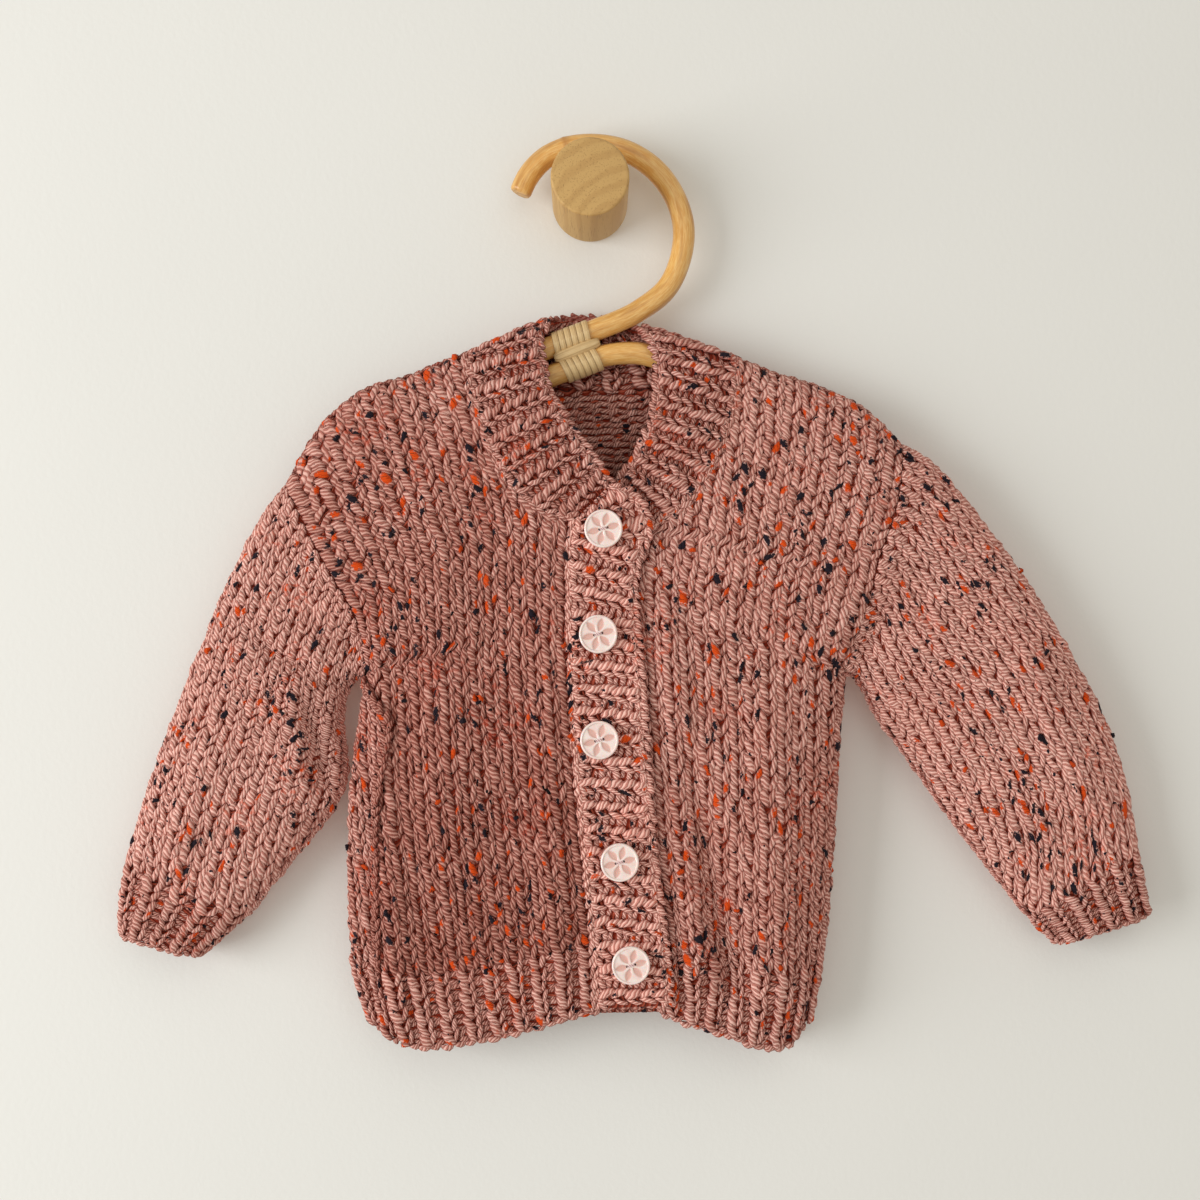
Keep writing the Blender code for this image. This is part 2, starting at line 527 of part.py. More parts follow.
def sleeve_grid(rings, run):
    """Grid of a sleeve, ring by ring from the armhole to the cuff. Each ring closes on itself."""
    places = np.arange(2 * HALF_RING)
    return sleeve_point(rings, run, places[None, :], SLEEVE_ROWS[:, None])


# ---- normals and walls ---------------------------------------------------------------------------------------
def quads_of(shape, closed):
    """Corner indices of a grid's faces."""
    rows, columns = shape
    last = columns if closed else columns - 1
    return [
        (i * columns + j, i * columns + (j + 1) % columns, (i + 1) * columns + (j + 1) % columns,
         (i + 1) * columns + j)
        for i in range(rows - 1) for j in range(last)
    ]


def facing(grid, towards, at=None):
    """1 where the grid's faces point along a direction at one of its points, its middle if none is given, or -1."""
    i, j = at or (grid.shape[0] // 2, grid.shape[1] // 3)
    normal = np.cross(grid[i, j + 1] - grid[i, j], grid[i + 1, j] - grid[i, j])
    return 1 if normal @ np.array(towards) > 0 else -1


def shared_normals(grids):
    """One outward normal for each point of each grid, the same where grids meet.

    grids is a list of (points, closed, turn), where turn is 1 or -1 to make the faces point outwards.
    """
    points = np.concatenate([points.reshape(-1, 3) for points, _, _ in grids])
    _, shared = np.unique(np.round(points / WELD).astype(np.int64), axis=0, return_inverse=True)
    shared = shared.reshape(-1)
    total = np.zeros((shared.max() + 1, 3))
    first = 0
    for grid, closed, turn in grids:
        faces = np.array(quads_of(grid.shape[:2], closed))
        corners = grid.reshape(-1, 3)[faces]
        normal = np.cross(corners[:, 2] - corners[:, 0], corners[:, 3] - corners[:, 1])
        normal *= turn / np.maximum(np.linalg.norm(normal, axis=1, keepdims=True), 1e-15)
        for index in range(4):
            before = corners[:, index - 1] - corners[:, index]
            after = corners[:, (index + 1) % 4] - corners[:, index]
            scale = np.linalg.norm(before, axis=1) * np.linalg.norm(after, axis=1)
            cosine = (before * after).sum(axis=1) / np.maximum(scale, 1e-15)
            angle = np.where(scale > 1e-14, np.arccos(np.clip(cosine, -1, 1)), 0.0)
            np.add.at(total, shared[first + faces[:, index]], angle[:, None] * normal)
        first += grid.shape[0] * grid.shape[1]
    total /= np.maximum(np.linalg.norm(total, axis=1, keepdims=True), 1e-9)
    found = []
    first = 0
    for grid, _, _ in grids:
        count = grid.shape[0] * grid.shape[1]
        found.append(total[shared[first:first + count]].reshape(grid.shape))
        first += count
    return found


def unit(vectors):
    """The vectors at length 1."""
    return vectors / np.linalg.norm(vectors, axis=-1, keepdims=True)


def drawn_in(points, sides, by):
    """The grid with its seam sides moved in, towards their neighbours."""
    points = points.copy()
    views = {"start": (points[0], points[1]), "end": (points[-1], points[-2]),
             "left": (points[:, 0], points[:, 1]), "right": (points[:, -1], points[:, -2])}
    for side in sides:
        edge, inside = views[side]
        step = inside - edge
        size = np.maximum(np.linalg.norm(step, axis=-1, keepdims=True), 1e-9)
        edge += step / size * np.minimum(by, MOST_DRAWN_IN * size)
    return points


def wall_object(name, points, normals, finish, sides=(), closed=False, relief=0.0, thickness=WALL,
                draw=SEAM_GAP / 2):
    """Closed solid of a wall: the grid moved out, with its relief, the grid moved in, plain, and the rims.

    A rim's quads are split along their shorter diagonal, so that the rims of two walls at a seam are alike.
    """
    sewn_outer = (points + normals * (thickness / 2)).reshape(-1, 3)
    sewn_inner = (points - normals * (thickness / 2)).reshape(-1, 3)
    points = drawn_in(points, sides, draw)
    rows, columns = points.shape[:2]
    height = np.broadcast_to(relief, (rows, columns))
    outer = points + normals * (thickness / 2 + height)[..., None]
    inner = points - normals * (thickness / 2)
    count = rows * columns
    skin = quads_of((rows, columns), closed)
    faces = skin + [tuple(count + corner for corner in reversed(face)) for face in skin]
    last = columns if closed else columns - 1
    rim = []
    for j in range(last):
        after = (j + 1) % columns
        rim.append((j, after))
        rim.append(((rows - 1) * columns + after, (rows - 1) * columns + j))
    if not closed:
        for i in range(rows - 1):
            rim.append(((i + 1) * columns, i * columns))
            rim.append((i * columns + columns - 1, (i + 1) * columns + columns - 1))
    for a, b in rim:
        one = np.linalg.norm(sewn_outer[b] - sewn_inner[a])
        other = np.linalg.norm(sewn_outer[a] - sewn_inner[b])
        if one < other:
            faces += [(b, a, count + a), (b, count + a, count + b)]
        else:
            faces += [(b, a, count + b), (a, count + a, count + b)]
    mesh = bpy.data.meshes.new(name)
    mesh.from_pydata(np.concatenate((outer.reshape(-1, 3), inner.reshape(-1, 3))).tolist(), [], faces)
    shape = bmesh.new()
    shape.from_mesh(mesh)
    bmesh.ops.recalc_face_normals(shape, faces=shape.faces)
    shape.to_mesh(mesh)
    shape.free()
    mesh.shade_smooth()
    mesh.set_sharp_from_angle(angle=SHARP)
    return placed(bpy.data.objects.new(name, mesh), finish)


# ---- ribs ----------------------------------------------------------------------------------------------------
def rib_relief(rows, columns):
    """Relief of ribs that run along a grid's columns."""
    wave = 0.5 - 0.5 * np.cos(np.arange(columns) / SAMPLES_PER_RIB * 2 * math.pi)
    return RIB_HEIGHT * np.repeat(wave[None, :], rows, axis=0)


def even_shares(points, pitch=RIB_PITCH):
    """Shares of the way along a polyline of evenly spaced points, that stand a rib's samples apart."""
    lengths = lengths_along(points)
    ribs = max(2, round(lengths[-1] / pitch))
    even = np.linspace(0, lengths[-1], ribs * SAMPLES_PER_RIB + 1)
    return np.interp(even, lengths, np.linspace(0, 1, len(points)))


def hem_grid(panel, panel_runs, end_runs):
    """Grid of the rib under a panel. end_runs gives the runs of the rib's two ends at the hem rows."""
    fine = np.linspace(0, 1, FINE)
    first, last = end_runs(HEM_ROWS)
    shares = even_shares(body_point(first[1] + fine * (last[1] - first[1]), HEM_ROWS[1]))
    runs = first[:, None] + shares * (last - first)[:, None]
    grid = body_point(runs, HEM_ROWS[:, None])
    order = np.argsort(panel_runs)
    grid[0] = on_polyline(panel[order], runs[0], panel_runs[order])
    return grid, runs[0]


def cuff_grid(sleeve, rings, run):
    """Grid of a cuff, ring by ring. Its first ring lies on the sleeve's last one."""
    fine = np.linspace(0, 2 * HALF_RING, FINE)
    shares = even_shares(sleeve_point(rings, run, fine, CUFF_ROWS[1]))[:-1]
    places = shares * 2 * HALF_RING
    grid = sleeve_point(rings, run, places[None, :], CUFF_ROWS[:, None])
    marks = np.arange(2 * HALF_RING + 1)
    grid[0] = on_polyline(np.concatenate((sleeve[-1], sleeve[-1, :1])), places, marks)
    return grid, places


# ---- front bands and neckband --------------------------------------------------------------------------------
def strip_grid(seam, seam_marks, line_marks, edges):
    """Grid of a strip, from its seam (first row) to its free edge, with its ribs from one to the other.

    seam holds the points that it is sewn to, with a mark for each. line_marks and edges hold, for each cross line,
    its mark on the seam and its end on the free edge. Each seam point gets the nearest column.
    """
    order = np.arange(len(line_marks))
    fine = np.linspace(0, order[-1], FINE)
    fine_seam = on_polyline(seam, np.interp(fine, order, line_marks), seam_marks)
    shares = even_shares((fine_seam + through(fine, order, edges)) / 2)
    places = shares * order[-1]
    marks = np.interp(places, order, line_marks)
    for mark in seam_marks[(seam_marks > marks[0]) & (seam_marks < marks[-1])]:
        nearest = 1 + np.argmin(np.abs(marks[1:-1] - mark))
        marks[nearest] = mark
    start = on_polyline(seam, marks, seam_marks)
    end = through(places, order, edges)
    steps = np.linspace(0, 1, STRIP_ROWS)[:, None, None]
    return start + steps * (end - start), marks


def band_edges(lines, lift):
    """Free edge of a front band, in space. lift is 1 for the one on top and -1 for the one under it."""
    edge = np.array([line.edge for line in lines])
    depth = front_depth(edge[:, 0], edge[:, 1]) + lift * LAP_LIFT * lap_fade(edge[:, 1])
    return np.stack([edge[:, 0], -depth, edge[:, 1]], axis=1)


def neck_edges(lines):
    """Free edge of the neckband, in space."""
    return np.array([(line.edge[0], -line.edge_depth, line.edge[1]) for line in lines])


# ---- hard pieces ---------------------------------------------------------------------------------------------
def button_mesh():
    """Round two-hole button, face towards -Y, with its back on the plane of its origin."""
    back, face = 0.0, -BUTTON_THICKNESS
    rim_radius = BUTTON_RADIUS - BUTTON_RIM
    profile = (
        (0.0, face + BUTTON_DISH), (rim_radius, face + BUTTON_DISH), (rim_radius + 0.3 * BUTTON_RIM, face),
        (BUTTON_RADIUS - 0.3 * BUTTON_RIM, face), (BUTTON_RADIUS, face + 0.4 * BUTTON_RIM),
        (BUTTON_RADIUS, back - 0.4 * BUTTON_RIM), (BUTTON_RADIUS - 0.4 * BUTTON_RIM, back), (0.0, back),
    )
    outline = bpy.data.meshes.new("Button outline")
    corners = [(radius, depth, 0.0) for radius, depth in profile]
    outline.from_pydata(corners, [(i, i + 1) for i in range(len(corners) - 1)], [])
    turned = bpy.data.objects.new("Button blank", outline)
    bpy.context.scene.collection.objects.link(turned)
    screw = turned.modifiers.new("Turned", "SCREW")
    screw.axis = "Y"
    screw.steps = screw.render_steps = BUTTON_STEPS
    screw.use_merge_vertices = True
    screw.merge_threshold = 1e-6
    for side in (-1, 1):
        bpy.ops.mesh.primitive_cylinder_add(
            vertices=BUTTON_HOLE_SIDES, radius=BUTTON_HOLE_RADIUS, depth=4 * BUTTON_THICKNESS)
        cutter = bpy.context.object
        cutter.name = f"Button hole {side}"
        cutter.rotation_euler.x = math.pi / 2
        cutter.location = (side * BUTTON_HOLE_OFFSET * math.cos(BUTTON_HOLE_TURN), 0.0,
                           side * BUTTON_HOLE_OFFSET * math.sin(BUTTON_HOLE_TURN))
        cutter.hide_render = True
        cutter.display_type = "WIRE"
        for collection in cutter.users_collection:
            collection.objects.unlink(cutter)
        bpy.data.collections["Cutters"].objects.link(cutter)
        cut = turned.modifiers.new("Hole", "BOOLEAN")
        cut.operation = "DIFFERENCE"
        cut.solver = "EXACT"
        cut.object = cutter
    bpy.context.view_layer.update()
    graph = bpy.context.evaluated_depsgraph_get()
    mesh = bpy.data.meshes.new_from_object(turned.evaluated_get(graph))
    bpy.data.objects.remove(turned)
    shape = bmesh.new()
    shape.from_mesh(mesh)
    bmesh.ops.recalc_face_normals(shape, faces=shape.faces)
    shape.to_mesh(mesh)
    shape.free()
    mesh.name = "Button"
    mesh.shade_smooth()
    mesh.set_sharp_from_angle(angle=SHARP)
    return mesh


def build_buttons(band_outer):
    """The five buttons, each resting on the foremost point of the band behind it."""
    mesh = button_mesh()
    points = band_outer.reshape(-1, 3)
    for number, (x, z) in enumerate(BUTTON_PLACES, start=1):
        under = np.hypot(points[:, 0] - x, points[:, 2] - z) < BUTTON_RADIUS + RIB_PITCH / 2
        button = bpy.data.objects.new(f"button_{number}", mesh)
        button.location = (x, points[under, 1].min() - SEAM_GAP, z)
        placed(button, PEARL)


def cane_object(name, route, finish):
    """Round cane along a smooth route of (x, z) points at the canes' depth."""
    route = np.asarray(route)
    marks = np.concatenate(([0.0], np.cumsum(np.hypot(*np.diff(route, axis=0).T))))
    count = math.ceil(marks[-1] / CANE_STEP) + 1
    points = through(np.linspace(0, marks[-1], count), marks, route)
    curve = bpy.data.curves.new(name, "CURVE")
    curve.dimensions = "3D"
    curve.bevel_depth = CANE_RADIUS
    curve.bevel_resolution = 3
    curve.use_fill_caps = True
    spline = curve.splines.new("POLY")
    spline.points.add(count - 1)
    for point, (x, z) in zip(spline.points, points):
        point.co = (x, -CANE_DEPTH, z, 1.0)
    return placed(bpy.data.objects.new(name, curve), finish)


def binding_place(along, aside):
    """(x, z) of a place in the binding: along the canes, and aside towards the upper one."""
    cosine, sine = math.cos(BINDING_SLOPE), math.sin(BINDING_SLOPE)
    return (BINDING_CENTRE[0] + along * cosine - aside * sine, BINDING_CENTRE[1] + along * sine + aside * cosine)


def shoulder_seat(across):
    """(x, z) of the bow's centre line where it runs close under the shoulder fold."""
    x, _, z = body_point((across + 1) / 2, SHOULDER_ROW)
    ahead = body_point((across + 1) / 2 + 0.01, SHOULDER_ROW)
    along = unit(np.array((ahead[0] - x, ahead[2] - z)))
    down = WALL / 2 + BOW_CLEARANCE + CANE_RADIUS
    return x + along[1] * down, z - along[0] * down


def build_hanger():
    """The hook, the shoulder bow, and the binding that holds them together."""
    half = BINDING_LENGTH / 2 + 0.0025
    upper, lower = CANE_SPACING / 2, -CANE_SPACING / 2
    tail = [binding_place(half, upper), binding_place(0, upper), binding_place(-half, upper),
            binding_place(-half - HOOK_TAIL, upper)]
    cane_object("hanger_hook", list(HOOK_ROUTE) + tail, CANE)
    middle = [binding_place(-half, lower), binding_place(0, lower), binding_place(half, lower)]
    bow = [shoulder_seat(across) for across in BOW_SEATS_RIGHT] + list(BOW_RIGHT_ROUTE) + middle
    bow += list(BOW_LEFT_ROUTE) + [shoulder_seat(across) for across in BOW_SEATS_LEFT]
    cane_object("hanger_bow", bow, CANE)

    turn = np.linspace(0, math.pi, BINDING_CORNER_STEPS + 1)
    radius = CANE_RADIUS + SEAM_GAP + BINDING_WALL / 2
    aside = np.concatenate((upper + radius * np.sin(turn), lower - radius * np.sin(turn)))
    outward = np.concatenate((radius * np.cos(turn), -radius * np.cos(turn)))
    count = 2 * BINDING_WRAPS + 1
    along = np.linspace(-BINDING_LENGTH / 2, BINDING_LENGTH / 2, count)
    x, z = binding_place(along[:, None], aside[None, :])
    points = np.stack([x, np.broadcast_to(-CANE_DEPTH - outward, x.shape), z], axis=-1)
    normals = shared_normals([(points, True, facing(points, (0, -1, 0), (1, 1)))])[0]
    relief = np.where(np.arange(count) % 2, BINDING_GROOVE, 0.0)[:, None]
    wall_object("hanger_binding", points, normals, SPLIT_CANE, closed=True, relief=relief, thickness=BINDING_WALL)


def build_peg():
    """The round wall peg, its back face on the wall."""
    bpy.ops.mesh.primitive_cylinder_add(vertices=PEG_SIDES, radius=PEG_RADIUS, depth=PEG_LENGTH)
    peg = bpy.context.object
    peg.name = "wall_peg"
    peg.rotation_euler.x = math.pi / 2
    peg.location.y = -PEG_LENGTH / 2
    for collection in peg.users_collection:
        collection.objects.unlink(peg)
    bevel = peg.modifiers.new("Eased edges", "BEVEL")
    bevel.width = PEG_EDGE
    bevel.segments = 2
    bevel.limit_method = "ANGLE"
    peg.data.shade_smooth()
    peg.data.set_sharp_from_angle(angle=SHARP)
    placed(peg, BEECH)


# ---- cloth pieces --------------------------------------------------------------------------------------------
def placed(obj, finish):
    """Puts an object in the part's collection, with its material."""
    bpy.data.collections["Baby cardigan"].objects.link(obj)
    if not obj.data.materials:
        obj.data.materials.append(material(finish))
    return obj


def material(finish):
    """Principled material of a finish, made once."""
    found = bpy.data.materials.get(finish.name)
    if found:
        return found
    made = bpy.data.materials.new(finish.name)
    made.use_nodes = True
    shader = made.node_tree.nodes["Principled BSDF"]
    shader.inputs["Base Color"].default_value = (*finish.colour, 1.0)
    shader.inputs["Roughness"].default_value = finish.roughness
    shader.inputs["Metallic"].default_value = 0.0
    return made


def build_cloth():
    """All the knitted pieces. Returns the outer points of the buttonhole band."""
    towards_viewer, towards_wall = (0, -1, 0), (0, 1, 0)
    runs = {"front_right": front_runs(PANEL_ROWS, True), "front_left": front_runs(PANEL_ROWS, False),
            "back": back_runs(PANEL_ROWS)}
    grids = {"front_right": body_point(runs["front_right"], PANEL_ROWS[:, None]),
             "front_left": body_point(runs["front_left"], PANEL_ROWS[:, None]),
             "back": body_point(runs["back"], back_rows(runs["back"])),
             "sleeve_right": sleeve_grid(SLEEVE_RIGHT, 0), "sleeve_left": sleeve_grid(SLEEVE_LEFT, 1)}
    ways = {name: towards_wall if name == "back" else towards_viewer for name in grids}
    closed = {name: name.startswith("sleeve") for name in grids}
    found = shared_normals([(grids[name], closed[name], facing(grids[name], ways[name])) for name in grids])
    normals = dict(zip(grids, found))
    for name in runs:
        top = row_height(2 * np.abs(runs[name][-1]) - 1, SHOULDER_ROW)
        at_shoulder = np.abs(grids[name][-1, :, 2] - top) < WELD
        normals[name][-1, at_shoulder, 1] = 0.0
        normals[name][-1] = unit(normals[name][-1])
    for name in ("sleeve_right", "sleeve_left"):
        normals[name][0, 0] = unit(normals[name][0, 0] * (1, 0, 1))
    for name in grids:
        sides = ("start", "end") if closed[name] else ("start", "end", "left", "right")
        wall_object(name, grids[name], normals[name], KNIT, sides, closed[name])

    ends = {
        "front_right": lambda row: (side_seam_run(row),
                                    front_seam_run(row, BUTTONHOLE_LINES, NECK_FRONT_RIGHT, True)),
        "front_left": lambda row: (np.ones(len(row)), front_seam_run(row, BUTTON_LINES, NECK_FRONT_LEFT, False)),
        "back": lambda row: (-np.ones(len(row)), side_seam_run(row)),
    }
    ribs, rib_runs = {}, {}
    for name, end_runs in ends.items():
        ribs[name], rib_runs[name] = hem_grid(grids[name][0], runs[name][0], end_runs)
    found = shared_normals([(ribs[name], False, facing(ribs[name], ways[name])) for name in ribs])
    rib_normals = dict(zip(ribs, found))
    for name, grid in ribs.items():
        order = np.argsort(runs[name][0])
        rib_normals[name][0] = on_polyline(normals[name][0][order], rib_runs[name], runs[name][0][order])
        relief = rib_relief(*grid.shape[:2])
        wall_object(f"rib_{name}", grid, rib_normals[name], RIB, ("start", "left", "right"), relief=relief)

    for side, rings, run in (("right", SLEEVE_RIGHT, 0), ("left", SLEEVE_LEFT, 1)):
        sleeve, sleeve_normals = grids[f"sleeve_{side}"], normals[f"sleeve_{side}"]
        grid, places = cuff_grid(sleeve, rings, run)
        cuff_normals = shared_normals([(grid, True, facing(grid, towards_viewer, (1, 8)))])[0]
        ring = np.concatenate((sleeve_normals[-1], sleeve_normals[-1, :1]))
        cuff_normals[0] = on_polyline(ring, places, np.arange(len(ring)))
        relief = rib_relief(*grid.shape[:2])
        wall_object(f"cuff_{side}", grid, cuff_normals, RIB, ("start",), True, relief)

    return build_strips(grids, normals, ribs, rib_normals)


def build_strips(grids, normals, ribs, rib_normals):
    """The two front bands and the neckband. Returns the outer points of the buttonhole band."""
    rows = np.concatenate((HEM_ROWS[::-1][:-1], PANEL_ROWS))

    def front_seam(name):
        """Points and normals up a front's seam, from the hem to the shoulder."""
        return (np.concatenate((ribs[name][::-1][:-1, -1], grids[name][:, -1])),
                np.concatenate((rib_normals[name][::-1][:-1, -1], normals[name][:, -1])))

    def line_rows(lines):
        seam = np.array([line.seam for line in lines])
        return cloth_place(seam[:, 0], seam[:, 1])[1]

    strips, strip_normals = {}, {}
    for name, lines, neck, lift in (("buttonhole_band", BUTTONHOLE_LINES, NECK_FRONT_RIGHT[0], 1),
                                    ("button_band", BUTTON_LINES, NECK_FRONT_LEFT[-1], -1)):
        front = "front_right" if lift > 0 else "front_left"
        seam, seam_normals = front_seam(front)
        edges = band_edges(lines, lift)
        edges[-1, 1] = -neck.edge_depth
        marks = line_rows(lines)
        marks[0] = 0.0
        strips[name], at = strip_grid(seam, rows, marks, edges)
        strip_normals[name] = on_polyline(seam_normals, at, rows)

    right, right_normals = front_seam("front_right")
    left, left_normals = front_seam("front_left")
    first, last = SHOULDER_COLUMNS, SHOULDER_COLUMNS + len(NECK_SHARES)
    back, back_normals = grids["back"][-1, first:last + 1][::-1], normals["back"][-1, first:last + 1][::-1]
    seam = np.concatenate((right, back[1:-1], left[::-1]))
    seam_normals = np.concatenate((right_normals, back_normals[1:-1], left_normals[::-1]))
    lengths = lengths_along(seam)
    right_lengths = lengths[:len(rows)]
    back_lengths = lengths[len(rows) - 1:len(rows) + len(back) - 1]
    left_lengths = lengths[-len(rows):]
    back_x = np.array([line.seam[0] for line in NECK_BACK])
    marks = np.concatenate((
        np.interp(line_rows(NECK_FRONT_RIGHT), rows, right_lengths),
        np.interp(back_x, back[:, 0], back_lengths),
        np.interp(-line_rows(NECK_FRONT_LEFT), -rows[::-1], left_lengths),
    ))
    edges = neck_edges(NECK_FRONT_RIGHT + NECK_BACK + NECK_FRONT_LEFT)
    strips["neckband"], at = strip_grid(seam, lengths, marks, edges)
    strip_normals["neckband"] = on_polyline(seam_normals, at, lengths)
    shares = np.linspace(0, 1, STRIP_ROWS)
    towards_viewer = (0, -1, 0)

    found = shared_normals([(grid, False, facing(grid, towards_viewer, (1, 4))) for grid in strips.values()])
    outer = None
    for (name, grid), grid_normals in zip(strips.items(), found):
        if name == "neckband":
            ends = np.linspace(0, 1, grid.shape[1])
            crown = NECKBAND_CROWN * smooth_step(np.minimum(ends, 1 - ends) / CROWN_FADE)
            grid = grid + grid_normals * (np.sin(math.pi * shares)[:, None] * crown)[..., None]
        grid_normals[0] = strip_normals[name]
        sides = ("start", "left", "right") if name == "neckband" else ("start", "right")
        relief = rib_relief(*grid.shape[:2])
        wall_object(name, grid, grid_normals, RIB, sides, relief=relief, draw=STRIP_DRAW)
        if name == "buttonhole_band":
            outer = grid + grid_normals * (WALL / 2 + relief)[..., None]
    return outer


def main():
    """Clears the scene and builds the part."""
    for obj in list(bpy.data.objects):
        bpy.data.objects.remove(obj)
    for name in ("Baby cardigan", "Cutters"):
        bpy.context.scene.collection.children.link(bpy.data.collections.new(name))
    outer = build_cloth()
    build_buttons(outer)
    build_hanger()
    build_peg()


main()
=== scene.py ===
"""Looks of a hand-knitted baby cardigan that hangs on a cane hanger from a round wooden wall peg.

Units are metres. The origin is the centre of the peg's flat back face, on the wall. +X runs along the wall,
to the wearer's left, +Z is up, and the depth of a point, its distance from the wall, is -Y.

Every knitted piece is a thin plain shell with its stitches on it. A stitch is two strands of yarn, each a
plump little spindle that is bent, leaned and laid on the cloth's middle surface.
"""
import logging
import math
from dataclasses import dataclass, field, replace
from enum import Enum
from typing import NamedTuple, Sequence

import bmesh
import bpy
import numpy as np
from mathutils import Matrix, Vector


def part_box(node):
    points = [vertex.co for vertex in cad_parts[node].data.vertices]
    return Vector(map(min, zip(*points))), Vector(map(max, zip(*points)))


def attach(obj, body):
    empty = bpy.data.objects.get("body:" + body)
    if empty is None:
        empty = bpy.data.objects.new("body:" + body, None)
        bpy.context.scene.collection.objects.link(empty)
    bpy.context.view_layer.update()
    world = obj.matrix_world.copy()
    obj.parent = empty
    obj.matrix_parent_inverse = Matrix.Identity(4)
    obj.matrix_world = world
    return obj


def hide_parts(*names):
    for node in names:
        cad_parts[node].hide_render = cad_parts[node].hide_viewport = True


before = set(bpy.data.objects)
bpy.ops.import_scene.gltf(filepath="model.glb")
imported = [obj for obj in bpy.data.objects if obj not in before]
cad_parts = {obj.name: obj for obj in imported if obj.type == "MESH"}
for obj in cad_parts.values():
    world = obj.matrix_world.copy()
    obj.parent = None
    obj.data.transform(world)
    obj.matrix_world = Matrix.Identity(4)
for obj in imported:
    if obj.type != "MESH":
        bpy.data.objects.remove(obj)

Array = np.ndarray
Colour = tuple[float, float, float]
Point = tuple[float, float, float]
log = logging.getLogger("cardigan")


class RowLine(NamedTuple):
    """Heights of one knitted row, at each place in ACROSS."""

    row: float
    heights: tuple[float, ...]


class SideEdge(NamedTuple):
    """x of the wearer's right and left sides at a row."""

    row: float
    right: float
    left: float


class Girth(NamedTuple):
    """Depth of the side edge at a row, and half the depth from front to back."""

    row: float
    middle: float
    half: float


class SleeveRing(NamedTuple):
    """Outer and inner edge of a sleeve at a row, as (x, z), and its depth."""

    row: float
    outer: tuple[float, float]
    inner: tuple[float, float]
    middle: float
    half: float


class CrossLine(NamedTuple):
    """Ends of a line across a front band: where it is sewn on, and its free edge."""

    seam: tuple[float, float]
    edge: tuple[float, float]


class NeckLine(NamedTuple):
    """Ends of a line across the neckband, and the depth of its free edge."""

    seam: tuple[float, float]
    edge: tuple[float, float]
    edge_depth: float


class Fold(NamedTuple):
    """A soft ridge of the cloth, or a trough where height is negative."""

    start: tuple[float, float]
    end: tuple[float, float]
    width: float
    height: float


def rows_of(kind: type, *lines: tuple) -> tuple:
    """A table whose lines are all of one kind."""
    return tuple(kind(*line) for line in lines)


# ---- sizes and tables of the cut, as in the solids ----
HEM_TOP_ROW = 5.5
UNDERARM_ROW = 28.0
SHOULDER_ROW = 50.0
CUFF_TOP_ROW = 31.5
CUFF_END_ROW = 37.0
CORNER_RIGHT = -0.405  # places across where the shoulder seams meet the neckband
CORNER_LEFT = 0.453
ARMHOLE_ROWS = (28.0, 28.1, 28.35, 28.9, 30.0, 32.0, 34.8, 35.9,
                38.5, 41.5, 44.5, 47.0, 48.6, 49.4, 49.85, 50.0)
ACROSS = (-1, -0.9, -0.8, -0.6, -0.4, -0.2, 0, 0.2, 0.4, 0.6, 0.8, 0.9, 1)
ROW_EASE = (-2.0, -1.0, 0.0, 1.0, 2.0)  # rows over which a change of slope between row lines is eased
ROW_LINES = (
    RowLine(0.0, (-0.3760, -0.3820, -0.3850, -0.3838, -0.3800, -0.3750, -0.3690, -0.3670, -0.3735, -0.3795,
                  -0.3858, -0.3850, -0.3735)),
    RowLine(5.5, (-0.3460, -0.3510, -0.3530, -0.3525, -0.3495, -0.3450, -0.3395, -0.3375, -0.3430, -0.3485,
                  -0.3535, -0.3520, -0.3440)),
    RowLine(12.0, (-0.3100, -0.3140, -0.3155, -0.3150, -0.3120, -0.3085, -0.3050, -0.3050, -0.3080, -0.3120,
                   -0.3155, -0.3140, -0.3090)),
    RowLine(28.0, (-0.2178, -0.2148, -0.2122, -0.2070, -0.2028, -0.2000, -0.1990, -0.1995, -0.2020, -0.2060,
                   -0.2108, -0.2134, -0.2160)),
    RowLine(50.0, (-0.1330, -0.1083, -0.0947, -0.0836, -0.0728, -0.0660, -0.0630, -0.0650, -0.0722, -0.0828,
                   -0.0925, -0.1003, -0.1150)),
)

SIDE_EDGES = rows_of(
    SideEdge,
    (0.0, -0.0986, 0.0995), (3.0, -0.1040, 0.1030), (5.5, -0.1068, 0.1050), (12.0, -0.1083, 0.1083),
    (18.0, -0.1076, 0.1105), (23.0, -0.1045, 0.1122), (28.0, -0.1005, 0.1149), (31.0, -0.1014, 0.1188),
    (35.0, -0.1060, 0.1250), (39.0, -0.1150, 0.1296), (43.0, -0.1240, 0.1365), (47.0, -0.1318, 0.1399),
    (50.0, -0.1373, 0.1407),
)

GIRTHS = rows_of(
    Girth,
    (0.0, 0.0165, 0.0125), (12.0, 0.0180, 0.0140), (28.0, 0.0185, 0.0145), (38.0, 0.0170, 0.0130),
    (46.0, 0.0145, 0.0105), (50.0, 0.0130, 0.0090),
)

